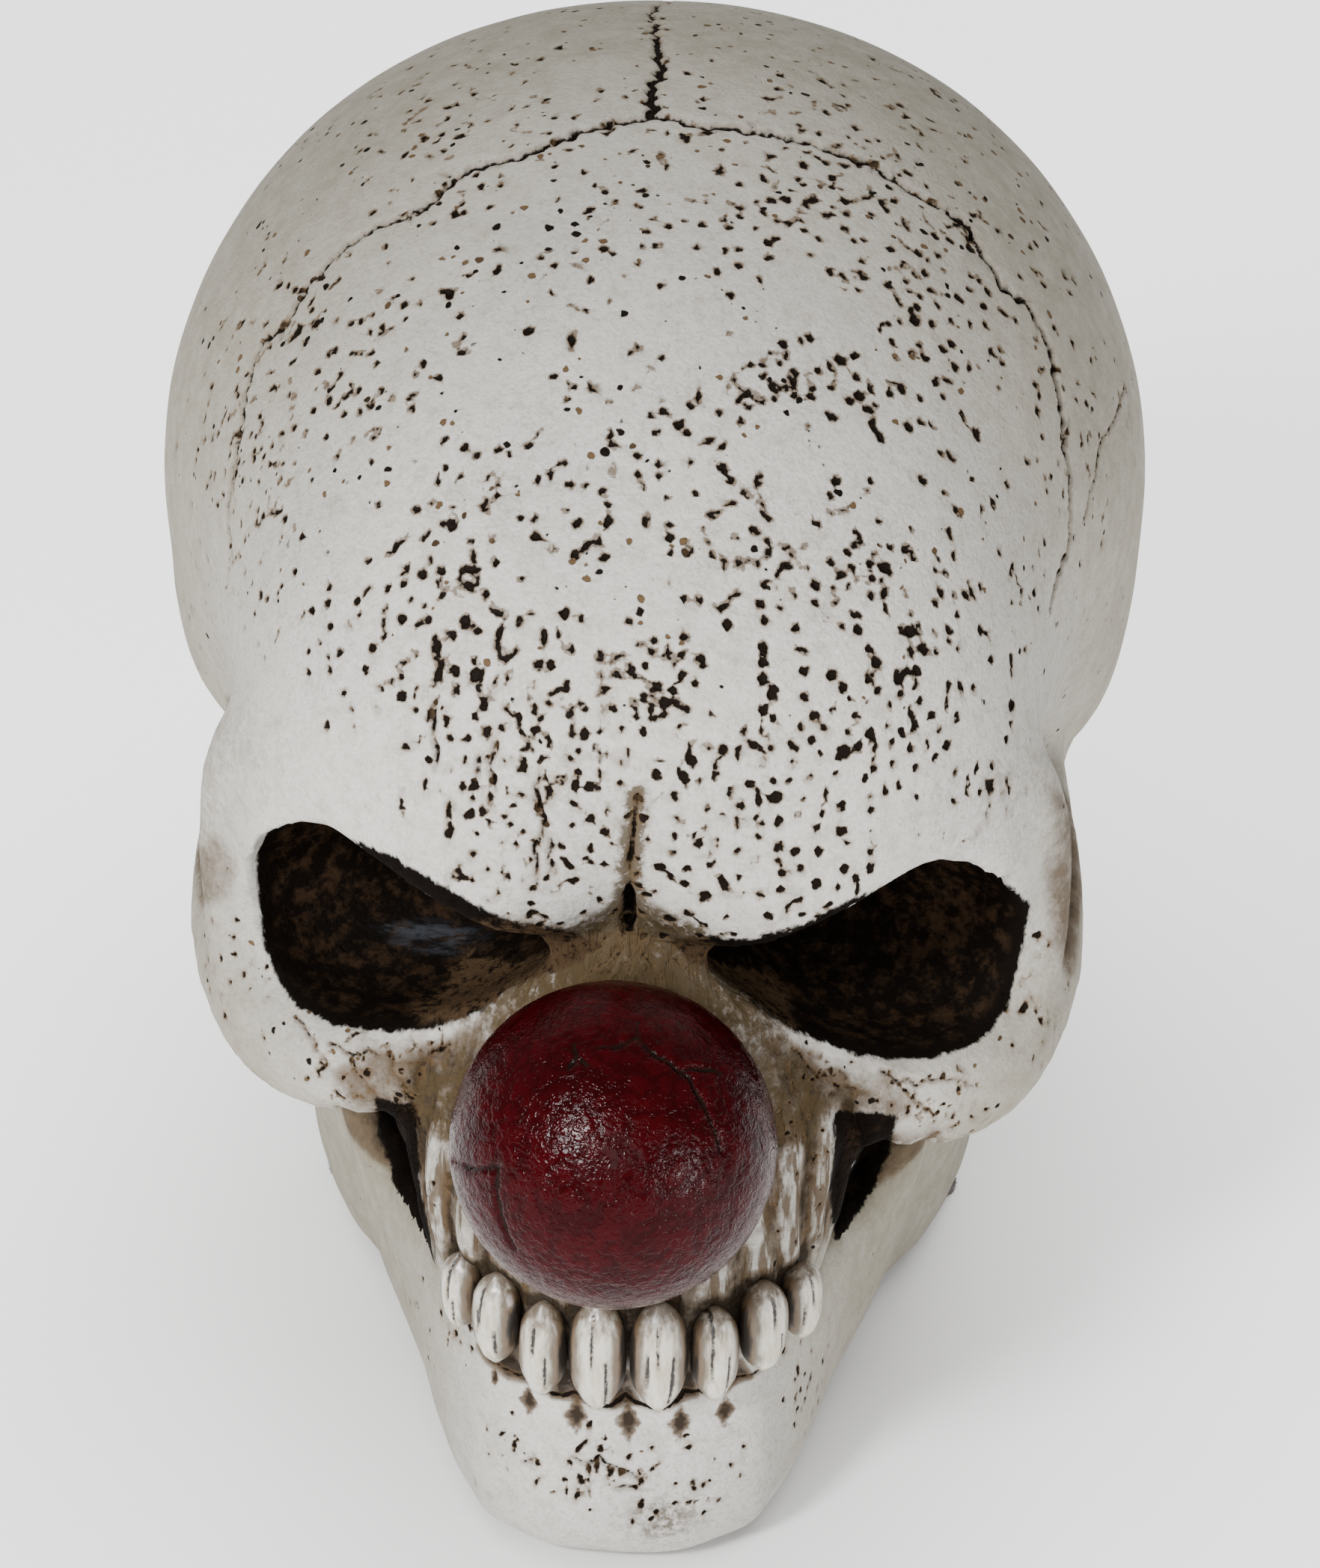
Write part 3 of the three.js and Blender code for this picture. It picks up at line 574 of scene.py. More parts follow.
def bone_finish(name, paint):
    """Cast bone: chalky base coat, brown wash with painted shade in every hollow, dark pits, sutures and
    sockets with painted shade, a warm side tone that is partly painted shade, and a painted highlight in a
    socket.
    """
    f = Finish(name)
    drift = f.noise(22.0, 3.0, 0.55)
    mottle = f.noise(3.2, 4.0, 0.65)
    grain = f.noise(0.55, 3.0, 0.6)
    ragged = f.times(f.minus(f.noise(0.8, 1.0, 0.5), 0.5), 1.1)
    f.base(f.step(drift, 0.35, 0.7), paint.bone, paint.bone_cool)
    f.coat(f.times(f.step(mottle, 0.46, 0.76), 0.42), paint.bone_shade)
    grime = f.step(f.noise(0.6, 4.0, 0.75), 0.47, 0.7)
    f.coat(f.times(grime, f.step(drift, 0.3, 0.7, 0.25, 0.6)), paint.bone_shade)
    f.coat(f.step(f.noise(1.5, 5.0, 0.8), 0.48, 0.66, 0.0, 0.3), paint.age)
    chalk = f.step(f.noise(0.42, 2.0, 0.6), 0.54, 0.72, 0.0, 0.45)
    f.coat(chalk, scaled(paint.bone, 1.22))
    # The darker warm side tone, partly painted shade where the light falls off at the sides.
    edge = f.times(f.attribute("age"), f.step(f.noise(3.6, 5.0, 0.75), 0.3, 0.7, 0.72, 0.98))
    f.coat(f.times(edge, 0.95, True), paint.age)
    streak = f.times(f.attribute("flute"),
                     f.step(f.noise(1.2, 3.0, 0.6, f.stretched(1.0, 1.0, 0.16)), 0.45, 0.58))
    f.coat(f.times(streak, 0.85), paint.wash)

    # The brown wash with painted shade: brown where it is light, near black where it is deepest.
    wash = f.times(f.attribute("wash"), f.step(mottle, 0.2, 0.72, 0.55, 1.35))
    f.coat(f.times(f.step(wash, 0.08, 0.75), 0.8, True), paint.wash)
    f.coat(f.step(wash, 0.75, 1.6, 0.0, 0.85), paint.dark)

    ochre = f.times(f.attribute("ochre"), f.step(f.noise(1.4, 4.0, 0.75), 0.34, 0.62, 0.4, 1.35))
    f.coat(f.step(ochre, 0.1, 0.9, 0.0, 0.9), paint.ochre)

    pit = f.plus(f.attribute("pit"), f.times(ragged, 0.55))
    halo = f.times(f.step(pit, 0.6, 0.05), f.step(f.noise(2.6, 2.0), 0.42, 0.62))
    f.coat(f.times(halo, 0.35), paint.halo)
    height = f.node("ShaderNodeSeparateXYZ", {0: f.place}).outputs["Z"]
    crown = f.step(height, 108 * MM, 124 * MM, 0.0, 0.13)
    f.coat(f.step(f.minus(pit, crown), 0.14, 0.02, 0.0, 0.75), paint.halo)
    core = f.minus(pit, f.times(crown, 0.6))
    f.coat(f.step(core, 0.03, -0.05), paint.dark)

    small = f.node("ShaderNodeTexVoronoi", {"Vector": f.bent(1.1, 0.9), "Scale": 1.0 / (1.5 * MM)})
    size = f.times(f.attribute("speck"), f.step(f.noise(4.5, 2.0), 0.35, 0.7, 0.2, 1.0))
    pick = f.node("ShaderNodeSeparateColor", {0: small.outputs["Color"]}).outputs
    limit = f.times(f.step(f.plus(pick[0], size), 1.0, 1.7), 0.34)
    specks = f.step(f.minus(limit, small.outputs["Distance"]), -0.03, 0.05)
    f.coat(specks, f.mix(f.step(pick[1], 0.4, 0.6), paint.dark, paint.halo))

    line = f.plus(f.attribute("line"), f.times(ragged, 0.5))
    f.coat(f.step(line, 0.6, 0.0, 0.0, 0.4), paint.halo)
    f.coat(f.step(line, 0.08, -0.1), paint.dark)

    stain = f.plus(f.attribute("stain"), f.times(ragged, 1.2))
    f.coat(f.step(stain, 0.35, -0.35, 0.0, 0.9), paint.wash)
    f.coat(f.step(stain, -0.25, -0.95, 0.0, 0.8), paint.dark)

    # Dark paint and painted shade of the sockets, of the gaps beside the upper jaw and of the throat.
    brushed = f.noise(1.6, 4.0, 0.7, f.stretched(1.0, 1.0, 0.35))
    deep = f.plus(f.attribute("socket"), f.times(f.minus(brushed, 0.5), 1.9))
    brown = f.times(f.step(f.noise(2.4, 4.0, 0.72), 0.44, 0.66), f.step(deep, 0.6, 2.6))
    shade = f.mix(brown, paint.socket, paint.socket_rim)
    shade = f.mix(f.step(ochre, 0.35, 1.2, 0.0, 0.7), shade, paint.wash)
    f.coat(f.step(deep, -0.5, 0.0), shade)
    # A cool painted highlight brushed inside the left socket.
    strokes = f.step(f.noise(0.9, 4.0, 0.7, f.stretched(0.22, 1.0, 1.0)), 0.42, 0.6, 0.1, 1.0)
    f.coat(f.times(f.attribute("socket_highlight"), strokes), paint.socket_highlight)

    rough = f.step(grain, 0.3, 0.7, 0.52, 0.68)
    rough = f.plus(rough, f.times(f.step(deep, -0.4, 0.4), 0.2))
    relief = f.plus(f.times(f.noise(1.1, 3.0, 0.55), 0.55), f.times(grain, 0.55))
    relief = f.minus(relief, f.times(streak, 0.7))
    dents = f.plus(f.step(pit, -0.25, 0.12), f.minus(1.0, specks))
    relief = f.plus(relief, f.times(dents, 0.75))
    relief = f.plus(relief, f.step(line, -0.25, 0.1))
    return f.done(rough, f.bump(relief, 0.24), Specular_IOR_Level=0.02)


def tooth_finish(paint):
    """Ivory enamel with brown wash and painted shade at the gum, the tip and the sides, and dark strokes down
    the crown.
    """
    f = Finish("tooth_ivory")
    across, height = f.attribute("across"), f.attribute("height")
    grain = f.noise(0.8, 3.0, 0.6, f.stretched(1.0, 1.0, 0.25))
    f.base(f.step(grain, 0.35, 0.7), paint.tooth, paint.tooth_shade)
    # Wash and painted shade toward the sides of the crown, darkest at its edges where the crowns meet.
    rim = f.plus(f.sum("ABSOLUTE", across), f.times(f.minus(grain, 0.5), 0.35))
    f.coat(f.step(rim, 0.42, 0.8, 0.0, 0.9), paint.ochre)
    f.coat(f.step(rim, 0.7, 0.86, 0.0, 0.9), paint.halo)
    f.coat(f.step(rim, 0.86, 1.0, 0.0, 0.95), paint.dark)
    # Wash and painted shade at the gum and at the tip.
    gum_and_tip_shade = f.plus(height, f.times(f.minus(grain, 0.5), 0.4))
    f.coat(f.step(gum_and_tip_shade, 0.72, 0.98, 0.0, 0.9), paint.wash)
    f.coat(f.step(gum_and_tip_shade, 0.1, -0.08, 0.0, 0.85), paint.wash)
    stroke = f.plus(f.attribute("stroke"), f.times(f.minus(f.noise(0.5), 0.5), 0.3))
    f.coat(f.step(stroke, 0.22, 0.02, 0.0, 0.4), paint.wash)
    f.coat(f.step(stroke, 0.06, -0.06), paint.dark)
    relief = f.plus(f.times(grain, 0.6), f.step(stroke, -0.12, 0.1))
    return f.done(f.step(grain, 0.3, 0.7, 0.36, 0.5), f.bump(relief, 0.16), Coat_Weight=0.12,
                  Coat_Roughness=0.3)


def nose_finish(paint):
    """Dark red lacquer: deep colour in the creases, gloss broken by fine speckle."""
    f = Finish("nose_lacquer")
    cloud = f.noise(7.0, 4.0, 0.6)
    fine = f.noise(0.9, 4.0, 0.65)
    f.base(f.step(cloud, 0.35, 0.68, 0.0, 0.45), paint.lacquer, paint.lacquer_dark)
    f.coat(f.step(fine, 0.52, 0.75, 0.0, 0.4), paint.lacquer_light)
    f.coat(f.step(f.attribute("crease"), 0.35, 1.0, 0.0, 0.5), paint.lacquer_dark)
    line = f.plus(f.attribute("line"), f.times(f.minus(fine, 0.5), 0.5))
    f.coat(f.step(line, 0.15, -0.1, 0.0, 0.9), paint.dark)
    ripple = f.noise(1.5, 3.0, 0.6, f.bent(3.0, 1.2))
    ridges = f.sum("ABSOLUTE", f.minus(ripple, 0.5))
    relief = f.plus(f.times(f.step(ridges, 0.0, 0.12), 0.6), f.times(fine, 0.6))
    rough = f.step(f.noise(0.7, 3.0, 0.7), 0.3, 0.72, 0.05, 0.2)
    return f.done(rough, f.bump(relief, 0.09), Specular_IOR_Level=0.06)


def felt_finish(paint):
    """Dull brown felt with darker flecks."""
    f = Finish("pad_felt")
    fleck = f.noise(0.35, 4.0, 0.7)
    f.base(f.step(fleck, 0.3, 0.7), paint.felt, scaled(paint.felt, 0.45))
    return f.done(0.95, f.bump(fleck, 0.2), Sheen_Weight=0.4)


def wood_finish(paint):
    """Bare wood with its rings drawn out along the dowel."""
    f = Finish("dowel_wood")
    rings = f.noise(0.6, 4.0, 0.6, f.stretched(1.0, 1.0, 0.08))
    f.base(f.step(rings, 0.35, 0.68), paint.wood, scaled(paint.wood, 0.5))
    return f.done(f.step(rings, 0.3, 0.7, 0.55, 0.75), f.bump(rings, 0.15))


def rubber_finish(paint):
    """Dark rubber with a faint bloom."""
    f = Finish("plug_rubber")
    bloom = f.noise(2.5, 4.0, 0.6)
    f.base(f.step(bloom, 0.35, 0.7), paint.rubber, [c * 1.9 + 0.01 for c in paint.rubber])
    return f.done(f.step(bloom, 0.3, 0.7, 0.5, 0.72), f.bump(f.noise(0.5, 3.0), 0.08))


# Attribute values where a socket's, a pit's and a stain's paint has no effect, in millimetres from its edge.
OUTSIDE = -4.0
NO_PIT = 1.5
NO_STAIN = 2.0

# Lines on the skull and jaw, as pixels of the photograph. Each side of the coronal suture also has the shares
# of a suture's width and depth that it takes along its way, and a number of short strays.
SAGITTAL = [(870, 155), (868, 128), (876, 100), (866, 74), (873, 48), (872, 24), (876, 8)]
CORONAL = [
    ([(870, 154), (758, 179), (696, 210), (624, 232), (596, 250), (568, 276), (512, 299), (486, 312),
      (450, 339), (414, 375), (392, 415), (379, 437), (352, 455), (338, 487), (325, 554), (312, 625),
      (306, 690), (310, 750)],
     (2.2, 2.1, 1.5, 1.4, 1.1, 0.8)),
    ([(870, 154), (957, 165), (1024, 176), (1100, 196), (1171, 219), (1216, 250), (1270, 281), (1296, 299),
      (1314, 339), (1341, 379), (1372, 402), (1404, 464), (1417, 536), (1426, 603), (1428, 696), (1426, 734),
      (1404, 814)],
     (2.4, 2.3, 2.1, 1.6, 1.2)),
]
CORONAL_STRAYS = 16
TEMPLE_BRANCH = [(1504, 513), (1490, 560), (1470, 600), (1462, 650), (1448, 696)]
BROW_CLEFT = [(852, 1062), (848, 1100), (842, 1150), (840, 1200), (838, 1243)]
FOREHEAD_CRACKS = [
    [(582, 939), (578, 965), (584, 1000), (580, 1029)],
    [(660, 993), (655, 1020), (662, 1055)],
    [(722, 1024), (716, 1060), (724, 1100), (712, 1140), (718, 1185)],
    [(640, 1010), (636, 1040)],
    [(735, 1120), (742, 1170)],
]
ROOT_WRINKLES = [
    [(832, 1240), (800, 1262), (758, 1282), (722, 1300)],
    [(834, 1250), (806, 1284), (776, 1312)],
    [(838, 1256), (822, 1290), (806, 1318)],
    [(846, 1256), (866, 1288), (888, 1312)],
    [(850, 1248), (890, 1276), (930, 1306)],
    [(852, 1240), (900, 1262), (958, 1282)],
    [(842, 1258), (842, 1300)],
]
CHEEK_CRACKS = [
    [(440, 1395), (470, 1412), (505, 1408), (540, 1424), (575, 1420)],
    [(470, 1412), (478, 1440), (500, 1462)],
    [(520, 1410), (532, 1446), (556, 1466)],
    [(1180, 1432), (1220, 1446), (1262, 1440), (1300, 1452)],
    [(1222, 1446), (1228, 1474), (1250, 1496)],
    [(1060, 1402), (1090, 1424), (1120, 1430)],
    [(600, 1395), (575, 1420), (560, 1450)],
    [(1120, 1430), (1140, 1452), (1170, 1462)],
    [(395, 1360), (420, 1392), (436, 1425)],
]
JAW_CRACKS = [
    [(764, 1948), (782, 1955), (800, 1946), (818, 1958), (832, 1972)],
    [(790, 1953), (786, 1970)],
    [(822, 1990), (842, 1986), (862, 1992)],
    [(838, 1966), (852, 1976)],
    [(700, 1955), (716, 1950)],
]

# A painted shadow line round the tips of the crowns, also cut as a shallow groove, and the patches of painted
# shade between them.
BITE_SHADOW_LINE = [
    (650, 1812), (664, 1822), (684, 1838), (711, 1843), (733, 1863), (757, 1863), (773, 1859), (794, 1877),
    (818, 1881), (833, 1862), (852, 1873), (875, 1886), (902, 1876), (914, 1860), (928, 1860), (948, 1863),
    (968, 1860), (980, 1840), (1002, 1837), (1030, 1820),
]
BITE_SHADE = [
    [(640, 1800), (668, 1806), (700, 1826), (706, 1846), (680, 1840), (655, 1822)],
    [(755, 1835), (775, 1840), (782, 1872), (757, 1868), (738, 1866)],
    [(826, 1835), (842, 1838), (852, 1876), (834, 1876), (818, 1880)],
    [(908, 1835), (925, 1838), (930, 1864), (912, 1870), (900, 1876)],
    [(968, 1820), (990, 1822), (1002, 1840), (982, 1848), (966, 1860)],
]

# Dark diamonds on the jaw under the gaps between the crowns: column, row and share of the full size, which
# is in millimetres.
BITE_STAINS = [
    (706, 1873, 1.0), (770, 1892, 1.3), (839, 1900, 1.3), (909, 1903, 1.2), (970, 1887, 1.0),
    (660, 1841, 0.6),
]
STAIN_HALF_WIDTH, STAIN_HALF_HEIGHT, STAIN_REACH = 1.15, 2.2, 6.0

# Fields of pits: left, right, top, bottom, how many, their size in millimetres, share of dashes.
FACE_PITS = [
    (882, 1134, 1008, 1222, 125, 1.12, 0.2), (1050, 1323, 872, 1060, 80, 1.05, 0.2),
    (630, 830, 1008, 1212, 95, 1.05, 0.35), (567, 777, 850, 1050, 65, 0.95, 0.35),
    (441, 588, 798, 945, 36, 0.8, 0.2), (504, 777, 630, 819, 55, 0.82, 0.25),
    (777, 945, 861, 1029, 45, 0.85, 0.2), (924, 1134, 672, 840, 60, 0.85, 0.3),
    (1155, 1323, 672, 872, 45, 0.8, 0.2), (1113, 1302, 452, 588, 38, 1.0, 0.2),
    (945, 1197, 200, 357, 65, 0.8, 0.2), (1155, 1355, 294, 462, 60, 0.8, 0.2),
    (735, 977, 504, 672, 40, 0.78, 0.2), (630, 945, 210, 504, 50, 0.78, 0.2),
    (347, 588, 315, 588, 85, 0.72, 0.2), (990, 1110, 470, 540, 22, 0.8, 0.2),
]
FINE_PITS = [
    (252, 420, 462, 735, 110, 0.6, 0.2), (420, 861, 42, 242, 110, 0.62, 0.2),
    (914, 1365, 32, 273, 120, 0.62, 0.2), (1365, 1523, 399, 840, 90, 0.6, 0.2),
    (255, 375, 735, 861, 50, 0.6, 0.1), (255, 355, 1260, 1386, 22, 0.6, 0.1),
    (1344, 1450, 1281, 1407, 30, 0.6, 0.1), (1208, 1301, 1449, 1515, 46, 0.52, 0.5),
    (1031, 1160, 1405, 1478, 44, 0.46, 0.7), (440, 600, 1388, 1470, 62, 0.48, 0.7),
    (1258, 1358, 1023, 1122, 20, 0.5, 0.2), (1045, 1118, 1490, 1640, 34, 0.46, 0.6),
    (522, 600, 1500, 1690, 34, 0.46, 0.6), (905, 990, 1660, 1725, 14, 0.42, 0.4),
]
JAW_PITS = [
    (548, 628, 1735, 1835, 20, 0.75, 0.3), (1050, 1134, 1795, 1901, 26, 0.75, 0.2),
    (748, 890, 1935, 2013, 34, 0.8, 0.4), (640, 720, 1900, 1990, 12, 0.6, 0.1),
    (900, 1010, 1960, 2050, 14, 0.6, 0.1),
]

# What the photograph shows as patches, as outlines in its pixels: the eye sockets, in dark paint with painted
# shade, the painted shade of the gaps beside the upper jaw, of the temples and of the cheeks, the painted
# highlight inside a socket, the sockets' brown inner ends and the root of the nose, brown with painted shade.
SOCKETS_SEEN = [
    [(345, 1150), (360, 1128), (400, 1120), (470, 1124), (530, 1150), (600, 1193), (650, 1222), (700, 1238),
     (760, 1246), (800, 1262), (770, 1288), (730, 1300), (690, 1312), (640, 1350), (580, 1372), (530, 1378),
     (480, 1372), (440, 1365), (400, 1345), (375, 1310), (355, 1260), (348, 1200)],
    [(900, 1258), (930, 1255), (1000, 1257), (1060, 1243), (1120, 1214), (1180, 1187), (1240, 1172),
     (1300, 1174), (1350, 1188), (1376, 1210), (1367, 1240), (1357, 1300), (1345, 1340), (1320, 1380),
     (1290, 1400), (1240, 1412), (1180, 1415), (1120, 1400), (1060, 1375), (1010, 1340), (965, 1302),
     (920, 1280)],
]
GAP_SHADE_SEEN = [
    [(504, 1470), (556, 1478), (558, 1550), (564, 1610), (575, 1660), (584, 1715), (566, 1702), (545, 1645),
     (527, 1570), (511, 1520)],
    [(1117, 1487), (1196, 1492), (1184, 1545), (1167, 1585), (1145, 1620), (1128, 1650), (1117, 1655),
     (1112, 1600), (1116, 1550)],
]
TEMPLE_SHADE_SEEN = [
    [(1380, 1075), (1405, 1040), (1432, 1080), (1446, 1180), (1430, 1300), (1402, 1260), (1392, 1180)],
    [(262, 1140), (298, 1106), (320, 1150), (314, 1220), (270, 1205)],
]
CHEEK_SHADE_SEEN = [
    [(440, 1436), (520, 1398), (600, 1388), (650, 1420), (610, 1490), (520, 1482), (460, 1476)],
    [(1030, 1400), (1090, 1410), (1130, 1440), (1220, 1470), (1200, 1492), (1110, 1484), (1050, 1470)],
]
SOCKET_HIGHLIGHT_SEEN = [
    [(496, 1240), (540, 1230), (600, 1234), (640, 1243), (655, 1258), (610, 1264), (550, 1258)],
    [(520, 1256), (590, 1262), (640, 1268), (600, 1276), (540, 1270)],
]
SOCKET_ENDS_SEEN = [
    [(618, 1257), (675, 1250), (746, 1257), (803, 1243), (824, 1264), (746, 1293), (675, 1350), (618, 1367),
     (561, 1371), (533, 1350), (590, 1314)],
    [(867, 1264), (903, 1279), (952, 1264), (1002, 1264), (1045, 1293), (1073, 1378), (1045, 1378),
     (988, 1335), (945, 1307), (903, 1300)],
]
ROOT_SEEN = [
    [(640, 1238), (760, 1250), (845, 1212), (935, 1250), (975, 1292), (1010, 1340), (1070, 1410),
     (1100, 1470), (1075, 1520), (840, 1560), (600, 1520), (548, 1475), (560, 1430), (620, 1385), (690, 1322),
     (650, 1290)],
]

# How many pixels a socket's dark paint runs on above its outline, behind the brow, as painted shade under the
# brow.
HIDDEN_RISE = 110

# The photograph's scale at the face, and how far beyond an outline its distance is worked out, in pixels.
PIXELS_PER_MM = 11.0
MARGIN = 60

# The edge of the right eye socket seen from the front: x, y and z in millimetres.
SOCKET_EDGE = [
    (9.5, -66, 82), (12.5, -68, 86), (17.5, -69, 88.4), (22, -67, 90.6), (28, -63, 92.6), (33, -60, 93.2),
    (38, -55, 91), (41.8, -50, 86.4), (43.4, -47, 80), (43, -48, 72.5), (40, -52, 67), (32.5, -56, 65.5),
    (24, -60, 67.6), (17.6, -62, 71.4), (13.2, -64, 75.6), (9.8, -66, 79),
]
# How far the sockets' edges fall for each millimetre toward +x, and how far behind its edge a socket's paint
# starts, in millimetres.
SLANT = 0.036
SOCKET_LIP = 0.6


def socket_depth(form):
    """How far each vertex lies inside an eye socket, in millimetres, and less than zero outside."""
    depth = np.full(len(form.spots), OUTSIDE)
    for side in (1, -1):
        ring = np.array(SOCKET_EDGE, float)
        ring[:, 2] -= SLANT * ring[:, 0] * side
        ring[:, 0] *= side
        x, y, z = form.spots.T
        near = np.flatnonzero((x * side > 5) & (x * side < 50) & (y < -12) & (z > 58) & (z < 100))
        fit = np.stack([ring[:, 0], ring[:, 2], ring[:, 0] ** 2, np.ones(len(ring))], 1)
        plane = np.linalg.lstsq(fit, ring[:, 1], rcond=None)[0]
        behind = y[near] - np.stack([x[near], z[near], x[near] ** 2, np.ones(len(near))], 1) @ plane
        edge = outline_distance(ring[:, [0, 2]], np.stack([x[near], z[near]], 1))
        depth[near] = np.maximum(depth[near], np.minimum(behind - SOCKET_LIP, edge))
    return depth


def outline_distance(ring, spots):
    """Distance to a closed outline, more than zero inside it."""
    inside = np.zeros(len(spots), bool)
    best = np.full(len(spots), 1e9)
    for a, b in zip(ring, np.roll(ring, -1, 0)):
        run = b - a
        t = np.clip(((spots - a) @ run) / (run @ run), 0, 1)
        best = np.minimum(best, np.linalg.norm(spots - (a + t[:, None] * run), axis=1))
        crosses = (a[1] > spots[:, 1]) != (b[1] > spots[:, 1])
        with np.errstate(divide="ignore", invalid="ignore"):
            where = a[0] + (spots[:, 1] - a[1]) / (b[1] - a[1]) * run[0]
        inside ^= crosses & (spots[:, 0] < where)
    return np.where(inside, best, -best)


def stencil(form, outlines, seen, rise=0):
    """Millimetres inside outlines of the photograph. What its view can't reach also counts above them."""
    away = form.spots - np.array(PHOTO.place)
    deep = away @ np.array(PHOTO.forward)
    pixels = np.stack([PHOTO.width / 2 + PHOTO.focal * (away @ np.array(PHOTO.right)) / deep,
                       PHOTO.height / 2 - PHOTO.focal * (away @ np.array(PHOTO.up)) / deep], 1)
    best = np.full(len(pixels), -float(MARGIN))
    for outline in outlines:
        ring = np.array(outline, float)
        low, high = ring.min(0) - MARGIN, ring.max(0) + MARGIN
        near = np.flatnonzero(((pixels > low - (0, rise)) & (pixels < high)).all(1))
        inside = outline_distance(ring, pixels[near])
        if rise:
            for up in (0.25, 0.5, 0.75, 1.0):
                raised = outline_distance(ring - (0, rise * up), pixels[near])
                inside = np.where(seen[near], inside, np.maximum(inside, raised))
        best[near] = np.maximum(best[near], inside)
    return best / PIXELS_PER_MM


# The braincase, in millimetres: its middle, a place in the hollow that its wall faces, and the half sizes of
# the ellipsoid that the hollow fills.
VAULT_Y, VAULT_Z = 9.0, 96.0
HEART_Y = 12.0
HOLLOW_SIDE, HOLLOW_FRONT, HOLLOW_BACK, HOLLOW_BELOW, HOLLOW_ABOVE = 60.5, 76, 82, 50, 60


def inner_wall(form):
    """One where a vertex lies on the hollow's wall, zero on the outside."""
    x, y, z = form.spots.T
    toward = np.stack([-x, HEART_Y - y, VAULT_Z - z], 1)
    facing = np.einsum("ij,ij->i", toward, form.normals()) > 0
    inside = (np.abs(x) < 57) & (y > -66) & (y < 84) & (z > 52) & (z < 152)
    reach = ((x / HOLLOW_SIDE) ** 2 + ((y - VAULT_Y) / np.where(y > 8, HOLLOW_BACK, HOLLOW_FRONT)) ** 2
             + ((z - VAULT_Z) / np.where(z > VAULT_Z, HOLLOW_ABOVE, HOLLOW_BELOW)) ** 2)
    return (facing & inside & (reach < 0.93)).astype(float)


def seen_from_front(form, tree, chosen):
    """Marks the chosen vertices that the photograph's view reaches."""
    grazing, slack = 0.15, 1.5
    seen = np.zeros(len(form.spots), bool)
    normals = form.normals()
    for i in np.flatnonzero(chosen):
        ray = Vector(form.spots[i]) - PHOTO.place
        if ray.dot(Vector(normals[i])) > grazing * ray.length:
            continue
        hit, _, _, gap = tree.ray_cast(PHOTO.place, ray.normalized())
        seen[i] = hit is not None and gap > ray.length - slack
    return seen


def vault_line(tree, directions):
    """Spots on the vault met by rays from outside toward the middle of the braincase."""
    found = []
    middle, outside = Vector((0.0, VAULT_Y, VAULT_Z)), 140
    for direction in directions:
        aim = Vector(direction).normalized()
        spot, _, _, _ = tree.ray_cast(middle + aim * outside, -aim)
        if spot:
            found.append(np.array(spot))
    return found


def draw_skull_lines(tree, cast, rng):
    """The sutures, the cleft between the brows and the cracks of the face."""
    lines = Grooves(tree, rng)
    width, depth, swing = (size / MM for size in (cast.suture_width, cast.suture_depth, cast.suture_swing))
    sagittal = photo_line(tree, SAGITTAL)
    lambda_way = [(0, math.cos(a), math.sin(a)) for a in np.linspace(1.6, 0.42, 14)]
    back = [s for s in vault_line(tree, lambda_way) if s[1] > sagittal[-1][1] + 2]
    lines.wander(sagittal, 1.2, swing * 1.5, (width * 2.4, width * 1.5, width * 1.2),
                 (depth * 1.6, depth * 1.3, depth))
    lines.wander(sagittal[-1:] + back, 2.0, swing * 1.3, (width, width), (depth, depth))
    for sign in (1, -1):
        arm = [(sign * math.sin(a) * 0.95, math.cos(a) * 0.91, 0.41 - 0.30 * (a / 1.1))
               for a in np.linspace(0.0, 1.1, 16)]
        lines.wander(vault_line(tree, arm), 2.0, swing * 1.6, (width, width * 0.7), (depth, depth * 0.5))
    for pixels, shares in CORONAL:
        line = lines.wander(photo_line(tree, pixels), 1.1, swing, [width * s for s in shares],
                            [depth * s for s in shares])
        for _ in range(CORONAL_STRAYS):
            start = line[rng.integers(2, len(line) - 2)]
            near, _, _, _ = tree.find_nearest(Vector(start + rng.normal(0, 1.0, 3)))
            lines.add([start, np.array(near)], (width * 0.6, width * 0.3), (depth * 0.6, depth * 0.2))
    lines.wander(photo_line(tree, TEMPLE_BRANCH), 2.0, swing * 0.7, (width * 0.6,) * 2, (depth * 0.4,) * 2)
    lines.add(photo_line(tree, BROW_CLEFT), (0.3, 0.6, 0.9, 1.2, 1.8), (0.3, 0.8, 1.3, 1.7, 2.0))
    lines.crack(FOREHEAD_CRACKS, 1.2, 0.35, (0.1, 0.55, 0.25, 0.5, 0.1), (0.3, 0.7, 0.5, 0.7, 0.3))
    lines.crack(ROOT_WRINKLES, 1.3, 0.4, (0.1, 0.1, 0.01), (0.25, 0.3, 0.1))
    lines.crack(CHEEK_CRACKS, 1.1, 0.5, (0.24, 0.18, 0.04), (0.4, 0.4, 0.15))
    return lines


# Where the arch of the upper teeth has its middle, in millimetres from the ear line.
ARCH_Y = -22.0


def tooth_row():
    """The middle of each crown, the way along the row there and the way out of the mouth."""
    middles = []
    for name in TOOTH_ROW:
        low, high = solid_box(name)
        middles.append((low + high) / 2)
    middles = np.array(middles)
    order = np.argsort(middles[:, 0])
    rows = {}
    for place, i in enumerate(order):
        before, after = order[max(place - 1, 0)], order[min(place + 1, len(order) - 1)]
        way = middles[after] - middles[before]
        way[2] = 0
        way /= np.linalg.norm(way)
        rows[TOOTH_ROW[i]] = (middles[i], way, np.array((way[1], -way[0], 0.0)))
    return rows


